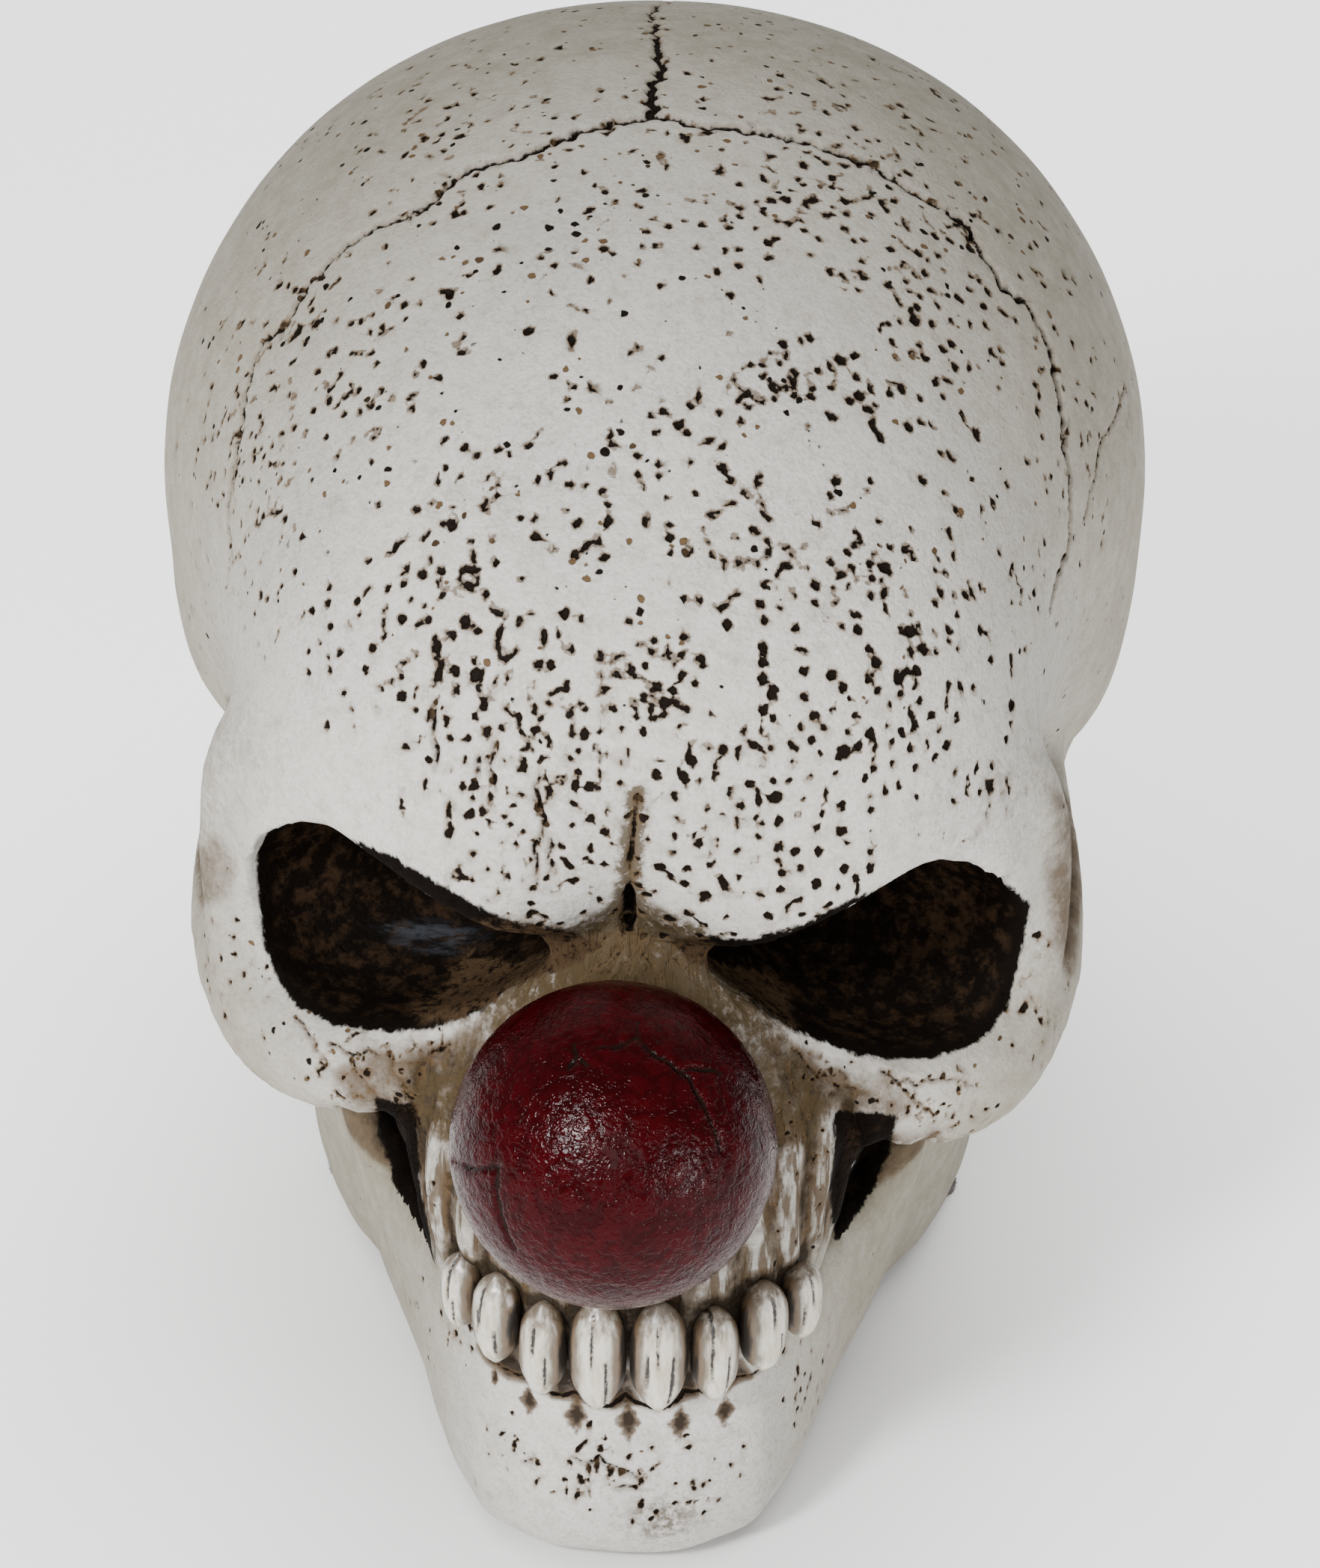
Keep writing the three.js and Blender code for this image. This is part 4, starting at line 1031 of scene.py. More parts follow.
def root_flutes(form, rows):
    """Soft ridges over the roots of the upper teeth, and the zone of the upper jaw that has them."""
    x, y, z = form.spots.T
    middles = sorted((m for m, _, _ in rows.values()), key=lambda m: m[0])
    angles = np.array([math.atan2(m[0], ARCH_Y - m[1]) for m in middles])
    step = np.diff(angles).mean()
    angles = np.concatenate([angles[0] - step * np.arange(4, 0, -1), angles,
                             angles[-1] + step * np.arange(1, 5)])
    sway = 0.012 * np.sin(z * 0.3 + x * 0.3)
    place = np.interp(np.arctan2(x, ARCH_Y - y) + sway, angles, np.arange(len(angles)))
    ridge = np.cos(2 * np.pi * place)
    radius = np.hypot(x, ARCH_Y - y)
    off_cheek = 1 - eased(25, 31, np.abs(x)) * eased(52, 57, z)
    zone = off_cheek * eased(20, 26, radius) * eased(40, 34, np.abs(x)) * eased(36, 42, z)
    return ridge, zone * eased(66, 58, z) * eased(-14, -24, y)


def knots(x, y, z, seed, waves=14):
    """A slow, seeded swell for the unevenness of a hand-sculpted surface."""
    shortest, longest = 9, 24
    rng = np.random.default_rng(seed)
    total = np.zeros_like(x)
    for _ in range(waves):
        way = rng.normal(0, 1, 3)
        way /= np.linalg.norm(way)
        run = (x * way[0] + y * way[1] + z * way[2]) * 2 * np.pi
        total += np.sin(run / rng.uniform(shortest, longest) + rng.uniform(0, 6.28))
    return total / waves


def build_skull(cast, paint):
    """The skull, with its sutures, cracks and pits, and soft ridges over the roots of the teeth."""
    rng = np.random.default_rng(cast.seed)
    skull = cast_copy("skull", "skull_shell", cast.skull_grid)
    thin_hollow(skull)
    form = Surface(skull)
    outer = 1 - inner_wall(form)
    x, y, z = form.spots.T
    form.smooth(outer, 3)
    vault = outer * np.maximum(eased(-34, -24, y) * eased(86, 92, z), eased(103, 110, z))
    form.smooth(vault, 50)
    brow_valley = outer * eased(-36, -46, y) * hump(z, 105, 7)
    form.smooth(brow_valley, 25)

    tree = form.tree()
    lines = draw_skull_lines(tree, cast, rng)
    pits = Pits(rng)
    for field in FACE_PITS + FINE_PITS:
        pits.scatter(tree, field)

    seen = seen_from_front(form, tree, outer > 0)
    distance, _ = lines.read(form)
    front = seen & (y < 40) & ((z < 112) | (pits.read(form) < 1.2) | (distance < 1.6))
    form.smooth(form.refine(front).astype(float), 2)
    distance, _ = lines.read(form)
    brow_edge = np.abs(socket_depth(form)) < 1.2
    form.refine((distance < 0.9) | (pits.read(form) < -0.15) | brow_edge)

    distance, cut = lines.read(form)
    pit = pits.read(form)
    x, y, z = form.spots.T
    outside = 1 - inner_wall(form)
    seen = seen_from_front(form, form.tree(), (outside > 0) & (y < 0))
    ridge, flutes = root_flutes(form, tooth_row())
    streaks = knots(x * 3.0, y * 3.0, z * 0.3, cast.seed + 9)
    relief = -cut - cast.pit_depth / MM * eased(0.25, -0.35, pit)
    relief += flutes * (0.45 * ridge + 0.5 * streaks) + 0.16 * knots(x, y, z, cast.seed) * outside
    form.push(relief * outside)

    coats = skull_coats(form, tree, seen, outside, ridge, flutes, streaks)
    seen = seen_from_front(form, form.tree(), (outside > 0) & (y < 0))
    form.put(pit=np.where(outside > 0, pit, NO_PIT), line=distance, stain=np.full(len(x), NO_STAIN),
             **coats, **socket_coats(form, seen))
    return finished(skull, bone_finish("skull_bone", paint), replaced="skull_shell")


def thin_hollow(skull):
    """Fewer faces on the wall of the hollow, which nobody sees."""
    form = Surface(skull)
    inner = inner_wall(form)
    form.smooth(inner, 3)
    form.write()
    group = skull.vertex_groups.new(name="hollow")
    group.add([int(i) for i in np.flatnonzero(inner)], 1.0, "REPLACE")
    with_modifier(skull, "DECIMATE", ratio=1 - inner.mean() * 0.9, vertex_group="hollow")
    skull.vertex_groups.clear()


def skull_coats(form, tree, seen, outside, ridge, flutes, streaks):
    """How much wash and painted shade, ochre, and age and painted side shade each vertex has, and how many
    brush marks and specks.

    Ranges are in millimetres: x from the middle, y from the ear line and z from the floor.
    """
    x, y, z = form.spots.T
    low, high = solid_box("red_nose")
    to_ball = np.linalg.norm(form.spots - (low + high) / 2, axis=1) - (high[0] - low[0]) / 2
    maxilla = eased(70, 62, z) * eased(-34, -44, y) * eased(36, 28, np.abs(x))
    cheek = hump(np.abs(x), 38, 12) * hump(z, 62, 9) * eased(-28, -40, y)
    root = eased(-2.4, 1.2, stencil(form, ROOT_SEEN, seen)) * eased(-40, -48, y)
    lower = root * eased(80, 66, z)

    # Brown wash and painted shade: darker in the hollows, at the ball's contact, round the teeth, in the
    # valleys between the root ridges, and over the cheeks, the temples and the root of the nose, where shade
    # falls.
    wash = 1.6 * np.clip(form.hollows(10) - 0.12, 0, 1) + 2.2 * np.clip(form.hollows(3) - 0.03, 0, 0.6)
    wash += 1.0 * eased(6.0, 0.5, to_ball) + 1.3 * eased(1.8, 0.3, gap_to_teeth(form, 4.0))
    wash += 0.2 * maxilla + 0.12 * cheek + flutes * (0.8 * eased(0.1, -0.7, ridge) - 0.5 * streaks)
    wash += 0.5 * root + 0.2 * lower
    wash += 0.4 * eased(-2.0, 2.0, stencil(form, CHEEK_SHADE_SEEN, seen)) * eased(-30, -40, y)
    wash += 0.9 * eased(-1.6, 1.2, stencil(form, TEMPLE_SHADE_SEEN, seen)) * eased(-52, -40, y)

    cleft = Grooves(tree)
    cleft.add(photo_line(tree, BROW_CLEFT), (0.6, 1.0, 1.6, 2.2), (1, 1, 1, 1))
    beside, _ = cleft.read(form, 3.0)
    ochre = 1.15 * root - 0.75 * lower + 1.2 * eased(1.5, -0.3, beside) + 0.3 * maxilla + 0.16 * cheek
    ochre += 0.35 * hump(np.abs(x), 53, 8) * hump(z, 84, 26) * eased(0, -16, y)
    ochre += 0.24 * hump(x, -5, 20) * hump(z, 100, 13) * eased(-40, -52, y)
    ends = stencil(form, SOCKET_ENDS_SEEN, seen)
    ochre = np.maximum(ochre, 1.1 * eased(-2.0, 2.5, ends) * seen * eased(-12, -20, y))
    ochre += 0.2 * hump(np.abs(x), 42, 9) * hump(z, 99, 9) * eased(-20, -36, y)

    # A darker warm tone toward the sides, the bottom and the back: partly ageing of the paint, partly painted
    # shade where the light falls off away from the front.
    age = eased(36, 61, np.hypot(x, (z - 90) * 0.75)) + 0.35 * eased(60, 52, z) + 0.5 * eased(-10, 30, y)
    speck = 0.55 + 0.45 * cheek + 0.3 * eased(110, 140, z) - 0.4 * hump(z, 95, 14) * eased(-40, -55, y)
    return {"wash": wash * outside, "ochre": ochre * outside, "age": np.clip(age + 0.35 * cheek, 0, 1),
            "flute": np.maximum(flutes, root * (1 - 0.3 * lower)), "speck": np.clip(speck, 0, 1) * outside}


def socket_coats(form, seen):
    """How far each vertex lies inside the dark paint and painted shade of the sockets, the gaps beside the
    upper jaw and the throat behind them, and how much painted highlight lies inside a socket.
    """
    x, y, z = form.spots.T
    low_face = (y < -14) & (z < 104) & (z > 33)
    within = socket_depth(form)
    socket = stencil(form, SOCKETS_SEEN, seen, HIDDEN_RISE)
    # Painted shade on the underside of the brow, above the sockets' outlines.
    painted_shade_under_brow = stencil(form, SOCKETS_SEEN, ~seen, HIDDEN_RISE * 0.5)
    socket = np.where(seen, np.maximum(socket, np.minimum(painted_shade_under_brow, within + 0.4)),
                      np.maximum(within, np.where(z < 90, socket, OUTSIDE)))
    # Painted shade in the deep gaps beside the upper jaw and in the throat behind them.
    gap_shade = np.where(y > -66, stencil(form, GAP_SHADE_SEEN, seen), OUTSIDE)
    painted_throat_shade = 6 * eased(-48, -36, y) * eased(40, 36, np.abs(x)) * eased(66, 61, z) * eased(34, 36, z) - 3
    dark = np.maximum(np.maximum(socket, gap_shade), painted_throat_shade)
    return {"socket": np.where(low_face, dark, OUTSIDE),
            "socket_highlight": 0.8 * eased(-0.8, 1.0, stencil(form, SOCKET_HIGHLIGHT_SEEN, seen)) * low_face}


def gap_to_teeth(form, reach):
    """Millimetres to the nearest upper tooth, at most `reach`."""
    gap = np.full(len(form.spots), reach)
    x, y, z = form.spots.T
    near = np.flatnonzero((y < -20) & (z > 22) & (z < 62) & (np.abs(x) < 36))
    for name in TOOTH_ROW:
        tree = solid_tree(name)
        low, high = solid_box(name)
        spots = form.spots[near]
        for i in near[((spots > low - reach) & (spots < high + reach)).all(1)]:
            _, _, _, away = tree.find_nearest(Vector(form.spots[i]), reach)
            if away is not None:
                gap[i] = min(gap[i], away)
    return gap


def build_jaw(cast, paint):
    """The lower jaw, with its pits, its cracks and the painted shadow line where the crowns meet it."""
    rng = np.random.default_rng(cast.seed + 1)
    jaw = cast_copy("jaw", "lower_jaw", cast.jaw_grid)
    form = Surface(jaw)
    form.smooth(np.ones(len(form.spots)), 5)
    tree = form.tree()
    pits = Pits(rng)
    for field in JAW_PITS:
        pits.scatter(tree, field)
    lines = Grooves(tree, rng)
    lines.crack(JAW_CRACKS, 1.3, 0.4, (0.2, 0.4, 0.1), (0.3, 0.4, 0.2))
    # The painted shadow line under the tips of the crowns, drawn and cut like a crack.
    lines.crack([BITE_SHADOW_LINE], 1.1, 0.25, (0.15, 0.6, 0.6, 0.6, 0.15), (0.15, 0.25, 0.25, 0.25, 0.15))
    seen = seen_from_front(form, tree, np.ones(len(form.spots), bool))
    form.smooth(form.refine(seen).astype(float), 2)
    distance, _ = lines.read(form)
    form.refine((distance < 0.8) | (pits.read(form) < -0.1))
    distance, cut = lines.read(form)
    pit = pits.read(form)
    x, y, z = form.spots.T
    stain = np.full(len(x), NO_STAIN)
    for column, row, size in BITE_STAINS:
        for spot in photo_line(tree, [(column, row)]):
            away = form.spots - spot
            across = np.abs(away[:, 0]) / (STAIN_HALF_WIDTH * size)
            down = np.abs(away[:, 2]) / (STAIN_HALF_HEIGHT * size)
            near = np.linalg.norm(away, axis=1) < STAIN_REACH
            stain[near] = np.minimum(stain, (across + down - 1) * 1.5)[near]
    lobes = 0.35 * hump(x, -6.5, 4) * hump(z, 7, 7) + 0.35 * hump(x, 4.5, 4) * hump(z, 5, 7)
    form.spots[:, 2] += 2.2 * hump(np.abs(x), 29, 4) * hump(y, -28, 9) * eased(21, 25, z)
    form.push(lobes * eased(-50, -58, y) - cut - cast.pit_depth / MM * eased(0.25, -0.35, pit)
              - 0.3 * eased(0.2, -0.8, stain) + 0.14 * knots(x, y, z, cast.seed + 3))
    teeth_gap = gap_to_teeth(form, 3.0)
    # Brown wash and painted shade: darker in the hollows, under the crowns, round the teeth, on the inner top
    # and in the shade between the tips.
    wash = 1.6 * np.clip(form.hollows(8) - 0.1, 0, 1) + 2.0 * np.clip(form.hollows(3) - 0.03, 0, 0.6)
    wash += 0.9 * eased(30.5, 33, z) * eased(-20, -34, y) + 1.4 * eased(2.8, 0.4, teeth_gap)
    inward = np.hypot(x, y + 8)
    wash += 0.7 * eased(44, 38, inward) * eased(30, 40, z)
    seen = seen_from_front(form, form.tree(), y < 0)
    wash += 1.5 * eased(-1.0, 0.6, stencil(form, BITE_SHADE, seen)) * eased(-20, -30, y)
    ochre = 0.6 * hump(x, 5, 6) * hump(z, 9, 5) * eased(-50, -58, y) + 0.25 * eased(24, 32, z)
    outward = form.normals()[:, 0] * np.sign(x) > 0.82
    beside_teeth = (y < -20) & (z > 20) & ~outward
    form.put(wash=wash, ochre=ochre, pit=pit, line=distance, stain=stain,
             # Painted shade of the gaps beside the upper jaw, on the jaw's top beside the teeth.
             socket=np.where(beside_teeth, stencil(form, GAP_SHADE_SEEN, seen), OUTSIDE),
             speck=np.full(len(x), 0.35), flute=np.zeros(len(x)),
             # Darker warm tone toward the sides and the top of the jaw, partly painted shade.
             age=np.clip(1.1 * eased(8, 32, np.abs(x)) + 0.6 * eased(24, 44, z), 0, 1.3))
    return finished(jaw, bone_finish("jaw_bone", paint), replaced="lower_jaw")


# Dark strokes that a crown may have: where across its face, and from which height to which.
STROKES = ((-0.12, 0.55, 0.93), (0.4, 0.16, 0.5), (-0.5, 0.3, 0.62))


def build_teeth(teeth, paint):
    """Eight crowns with a rounded face, shallow flutes and dark strokes."""
    material = tooth_finish(paint)
    rows = tooth_row()
    for number, name in enumerate(TOOTH_ROW):
        rng = np.random.default_rng(teeth.seed + number)
        tooth = cast_copy(name + "_crown", name, teeth.grid)
        form = Surface(tooth)
        form.smooth(np.ones(len(form.spots)), 3)
        middle, way, out = rows[name]
        low, high = form.spots.min(0), form.spots.max(0)
        outward = (form.spots - middle) @ out
        crown = eased(np.quantile(outward, 0.35), np.quantile(outward, 0.6), outward)
        along_row = (form.spots - middle) @ way
        face = outward > np.quantile(outward, 0.7)
        centre = (along_row[face].max() + along_row[face].min()) / 2
        half = (along_row[face].max() - along_row[face].min()) / 2
        across = (along_row - centre) / half
        height = (form.spots[:, 2] - low[2]) / (high[2] - low[2])
        stroke = np.full(len(form.spots), 1.0)
        for place, foot, top in STROKES[:rng.integers(2, 4)]:
            side = place + rng.normal(0, 0.1)
            start, end = foot + rng.normal(0, 0.04), top + rng.normal(0, 0.04)
            lean = rng.normal(0, 0.12)
            line = np.abs(across - side - lean * (height - 0.5)) * half
            ends = np.maximum(start - height, height - end) * (high[2] - low[2])
            taper = 1 - 0.6 * np.abs(height - (start + end) / 2) / (end - start)
            stroke = np.minimum(stroke, np.maximum(line - rng.uniform(0.1, 0.2) * taper, ends * 0.3))
        flute = 0.05 * np.cos(across * 7.0 + rng.uniform(-0.5, 0.5))
        flute *= eased(0.1, 0.3, height) * eased(0.95, 0.7, height)
        point = 1.1 - 0.46 * eased(0.45, -0.05, height) ** 1.8 - 0.14 * eased(0.75, 1.0, height)
        form.spots += way * ((point - 1) * (along_row - centre) * crown)[:, None]
        form.spots[:, 2] -= crown * teeth.longer / MM * (1 - height)
        form.push((flute - teeth.stroke_depth / MM * eased(0.12, -0.08, stroke)) * crown)
        form.put(across=across, height=height, stroke=stroke)
        finished(tooth, material, replaced=name)


NOSE_CRACKS = [
    [(855, 1362), (852, 1385), (872, 1405), (892, 1418), (915, 1430), (934, 1460), (950, 1490), (960, 1515),
     (965, 1540)],
    [(852, 1385), (826, 1400), (800, 1398)],
    [(603, 1553), (632, 1561), (664, 1559)],
    [(664, 1559), (659, 1603), (670, 1640), (687, 1670)],
    [(770, 1410), (758, 1428)],
    [(770, 1410), (786, 1424)],
    [(770, 1410), (766, 1394)],
    [(915, 1430), (944, 1424), (968, 1434)],
]


def lacquer_relief():
    """A tree that wrinkles a ball's skin: leathery creases with fine grain between them."""
    g = PieceTree("leathery_relief", Crease_size=2.0 * MM, Crease_depth=0.3 * MM, Seed=0.0)
    scale = g.sum("DIVIDE", 1.0, g.given["Crease size"])
    place = g.node("GeometryNodeInputPosition").outputs[0]
    bend = g.node("ShaderNodeTexNoise", {
        "Vector": place, "W": g.given["Seed"], "Scale": g.times(scale, 0.45)}, noise_dimensions="4D")
    bent = g.node("ShaderNodeVectorMath", {0: bend.outputs["Color"], 1: (1.6 * MM,) * 3, 2: place},
                  operation="MULTIPLY_ADD").outputs[0]
    heights = []
    for share, detail in ((1.0, 2.0), (0.45, 1.0)):
        noise = g.node("ShaderNodeTexNoise", {
            "Vector": bent, "W": g.plus(g.given["Seed"], share), "Scale": g.sum("DIVIDE", scale, share),
            "Detail": detail}, noise_dimensions="4D")
        away = g.sum("ABSOLUTE", g.minus(noise.outputs["Fac"], 0.5))
        heights.append(g.times(g.step(away, 0.0, 0.1, 1.0, 0.0), share))
    crease = g.plus(*heights)
    stored = g.node("GeometryNodeStoreNamedAttribute", {
        "Name": "crease", "Geometry": g.given["Geometry"], "Value": crease}, data_type="FLOAT",
        domain="POINT").outputs[0]
    skin = g.node("GeometryNodeInputNamedAttribute", {"Name": "skin"}, data_type="FLOAT").outputs["Attribute"]
    height = g.times(g.times(g.times(crease, g.given["Crease depth"]), -1.0), skin)
    normal = g.node("GeometryNodeInputNormal").outputs[0]
    offset = g.node("ShaderNodeVectorMath", {0: normal, "Scale": height}, operation="SCALE").outputs[0]
    moved = g.node("GeometryNodeSetPosition", {"Geometry": stored, "Offset": offset})
    return g.close(moved.outputs[0])


def with_tree(piece, tree, **values):
    """Runs a Geometry Nodes tree on a piece and keeps the result as a plain mesh."""
    modifier = piece.modifiers.new(tree.name, "NODES")
    modifier.node_group = tree
    entries = {s.name: s.identifier for s in tree.interface.items_tree
               if s.item_type == "SOCKET" and s.in_out == "INPUT"}
    for name, value in values.items():
        modifier[entries[name.replace("_", " ")]] = value
    return settle(piece)


def build_nose(nose, paint):
    """The ball, evened out where it shows, with its cracks and its leathery skin."""
    ball = cast_copy("ball_nose", "red_nose", nose.grid)
    form = Surface(ball)
    low, high = solid_box("red_nose")
    middle, radius = (low + high) / 2, (high[0] - low[0]) / 2
    away = form.spots - middle
    reach = np.linalg.norm(away, axis=1)
    hole_low, hole_high = solid_box("nose_dowel")
    hole = (hole_low + hole_high) / 2
    beside = np.hypot(form.spots[:, 0] - hole[0], form.spots[:, 2] - hole[2])
    skin = eased(radius - 0.9, radius - 0.5, reach)
    skin = skin * np.where(form.spots[:, 1] > middle[1], eased(4.5, 6.0, beside), 1)
    target = middle + away / reach[:, None] * (radius - 0.06)
    form.spots += (target - form.spots) * skin[:, None]
    form.smooth(skin, 1)
    tree = form.tree()
    rng = np.random.default_rng(nose.seed)
    lines = Grooves(tree, rng)
    lines.crack(NOSE_CRACKS, 1.5, 0.3, (0.3, 0.55, 0.3), (0.35, 0.6, 0.35))
    distance, cut = lines.read(form)
    form.push(-cut * skin)
    form.put(skin=skin, line=distance)
    material = nose_finish(paint)
    with_tree(ball, lacquer_relief(), Crease_size=nose.crease_size, Crease_depth=nose.crease_depth,
              Seed=float(nose.seed), Material=material)
    return finished(ball, material, replaced="red_nose")


def felt_fuzz():
    """A tree that stands short fibres on a pad, save on the face that rests on the table."""
    g = PieceTree("felt_fuzz", Fibres_per_square_metre=9.0e6, Fibre_length=0.3 * MM, Seed=4)
    normal = g.node("GeometryNodeInputNormal").outputs[0]
    height = g.node("ShaderNodeSeparateXYZ", {0: normal}).outputs["Z"]
    above = g.node("FunctionNodeCompare", {"A": height, "B": -0.3}, operation="GREATER_THAN")
    spread = g.node("GeometryNodeDistributePointsOnFaces", {
        "Mesh": g.given["Geometry"], "Selection": above.outputs[0],
        "Density": g.given["Fibres per square metre"], "Seed": g.given["Seed"]}).outputs
    fibre = g.node("GeometryNodeMeshCone", {
        "Vertices": 3, "Radius Top": 0.012 * MM, "Radius Bottom": 0.03 * MM,
        "Depth": g.given["Fibre length"]})
    lean = g.node("FunctionNodeRandomValue", {"Min": (-0.7, -0.7, -3.1), "Max": (0.7, 0.7, 3.1)},
                  data_type="FLOAT_VECTOR")
    turn = g.node("FunctionNodeRotateRotation", {
        "Rotation": spread["Rotation"], "Rotate By": lean.outputs["Value"]}, rotation_space="LOCAL")
    stand = g.node("GeometryNodeInstanceOnPoints", {
        "Points": spread["Points"], "Instance": fibre.outputs["Mesh"], "Rotation": turn.outputs[0]})
    both = g.node("GeometryNodeJoinGeometry", {0: g.given["Geometry"]})
    g.feed(stand.outputs[0], both.inputs[0])
    return g.close(both.outputs[0])


def build_fittings(fittings, paint):
    """Felt dots with standing fibres; the dowels and the plug keep their solids and get their finish."""
    felt, tree = felt_finish(paint), felt_fuzz()
    for node in ("chin_pad", "left_jaw_pad", "right_jaw_pad"):
        pad = new_piece(node + "_felt", joined_copy(node))
        bm = bmesh.new()
        bm.from_mesh(pad.data)
        bmesh.ops.dissolve_limit(bm, angle_limit=0.05, verts=bm.verts, edges=bm.edges)
        rim = [e for e in bm.edges if len(e.link_faces) == 2 and e.calc_face_angle() > 1.0]
        bmesh.ops.bevel(bm, geom=rim, offset=0.25 * MM, segments=3, affect="EDGES", profile=0.5)
        pad.data = ordered_mesh(bm, pad.name)
        bm.clear()
        bm.from_mesh(pad.data)
        bmesh.ops.triangulate(bm, faces=bm.faces, quad_method="FIXED", ngon_method="EAR_CLIP")
        bm.to_mesh(pad.data)
        bm.free()
        with_tree(pad, tree, Fibres_per_square_metre=fittings.fibres, Fibre_length=fittings.fibre_length,
                  Seed=fittings.seed, Material=felt)
        finished(pad, felt, replaced=node)
    for nodes, material in ((("nose_dowel", "left_jaw_dowel", "right_jaw_dowel"), wood_finish(paint)),
                            (("base_plug",), rubber_finish(paint))):
        for node in nodes:
            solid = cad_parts[node]
            if not solid.material_slots:
                solid.data.materials.append(material)
            for slot in solid.material_slots:
                slot.material = material


def area_lamp(name, place, size, power, aim=(0.0, 0.0, 0.075)):
    """A round, soft lamp turned toward a place, by default the middle of the face."""
    light = bpy.data.lights.new(name, "AREA")
    light.shape, light.size, light.energy = "DISK", size, power
    lamp = new_piece(name, light)
    lamp.location = place
    lamp.rotation_euler = (Vector(aim) - Vector(place)).to_track_quat("-Z", "Y").to_euler()
    return lamp


def build_stage(studio):
    """The camera of the fitted view, a pale floor and soft lamps."""
    scene = bpy.context.scene
    camera = new_piece("photograph_view", bpy.data.cameras.new("photograph_view"))
    camera.matrix_world = PHOTO.matrix()
    camera.data.sensor_fit = "HORIZONTAL"
    camera.data.sensor_width = 36.0
    camera.data.lens = PHOTO.focal / PHOTO.width * camera.data.sensor_width
    camera.data.clip_start, camera.data.clip_end = 0.01, 50.0
    scene.camera = camera

    bm = bmesh.new()
    bmesh.ops.create_grid(bm, x_segments=24, y_segments=24, size=studio.floor_size / 2)
    mesh = bpy.data.meshes.new("studio_floor")
    bm.to_mesh(mesh)
    bm.free()
    floor = new_piece("studio_floor", mesh)
    f = Finish("studio_floor")
    f.base(f.step(f.noise(180.0), 0.3, 0.7), studio.floor, scaled(studio.floor, 0.985))
    mesh.materials.append(f.done(0.85))

    world = bpy.data.worlds.new("studio_air")
    scene.world = world
    world.use_nodes = True
    air = world.node_tree.nodes["Background"].inputs
    air["Color"].default_value = (1.0, 1.0, 1.0, 1.0)
    air["Strength"].default_value = studio.air
    upper_left = (-0.43, -0.75, 0.70)
    area_lamp("key", upper_left, 0.2, studio.key)
    area_lamp("front", (0.10, -1.05, 0.62), 0.55, studio.front)
    area_lamp("side", (0.82, -0.60, 0.12), 0.26, studio.side)
    area_lamp("back", (0.30, 0.85, 0.75), 0.45, studio.back)
    for name, place, share in (("glint_left", upper_left, 1.0), ("glint_right", (0.78, -0.72, 0.20), 0.3)):
        area_lamp(name, place, 0.3, studio.glint * share).visible_diffuse = False
    wide = area_lamp("backdrop", (0.0, 0.25, 1.7), 2.2, studio.backdrop, aim=(0.0, 0.25, 0.0))
    lit = bpy.data.collections.new("lit_by_backdrop")
    lit.objects.link(floor)
    wide.light_linking.receiver_collection = lit


def color(name, description, default):
    return FloatVectorProperty(name=name, description=description, default=default, subtype="COLOR",
                               min=0.0, max=1.0, size=3)


def length(name, description, default):
    return FloatProperty(name=name, description=description, default=default, min=0.0, unit="LENGTH",
                         subtype="DISTANCE", precision=5)


def amount(name, description, default):
    return FloatProperty(name=name, description=description, default=default, min=0.0)


def seed_number(description, default):
    return IntProperty(name="Seed", description=description, default=default)


class OrnamentCast(bpy.types.PropertyGroup):
    """Sizes of the sculpted skull and jaw."""

    skull_grid: length("Skull grid", "Spacing of the skull's skin before it is refined", 0.0016)
    jaw_grid: length("Jaw grid", "Spacing of the jaw's skin before it is refined", 0.0011)
    suture_width: length("Suture width", "Width of the skull's sutures", 0.00045)
    suture_depth: length("Suture depth", "Depth of the skull's sutures", 0.0005)
    suture_swing: length("Suture swing", "How far a suture swings to each side", 0.0006)
    pit_depth: length("Pit depth", "Depth of the small pits", 0.0004)
    seed: seed_number("Places the pits and bends the sutures", 7)


class OrnamentTeeth(bpy.types.PropertyGroup):
    """Sizes of the crowns' relief."""

    grid: length("Crown grid", "Spacing of a crown's skin", 0.0003)
    longer: length("Longer tip", "How far a crown's tip is drawn down", 0.0011)
    stroke_depth: length("Stroke depth", "Depth of the dark strokes down a crown", 0.00022)
    seed: seed_number("Places the strokes", 21)


class OrnamentNose(bpy.types.PropertyGroup):
    """Sizes of the ball nose's leathery skin."""

    grid: length("Nose grid", "Spacing of the ball's skin", 0.00042)
    crease_size: length("Crease size", "Spacing of the creases", 0.0026)
    crease_depth: length("Crease depth", "Depth of the creases", 0.00007)
    seed: seed_number("Turns the pattern of creases", 5)


class OrnamentFittings(bpy.types.PropertyGroup):
    """Sizes of the felt under the ornament."""

    fibres: amount("Fibres", "Fibres on each square metre of felt", 9.0e6)
    fibre_length: length("Fibre length", "Length of one fibre", 0.0003)
    seed: seed_number("Places the fibres", 4)


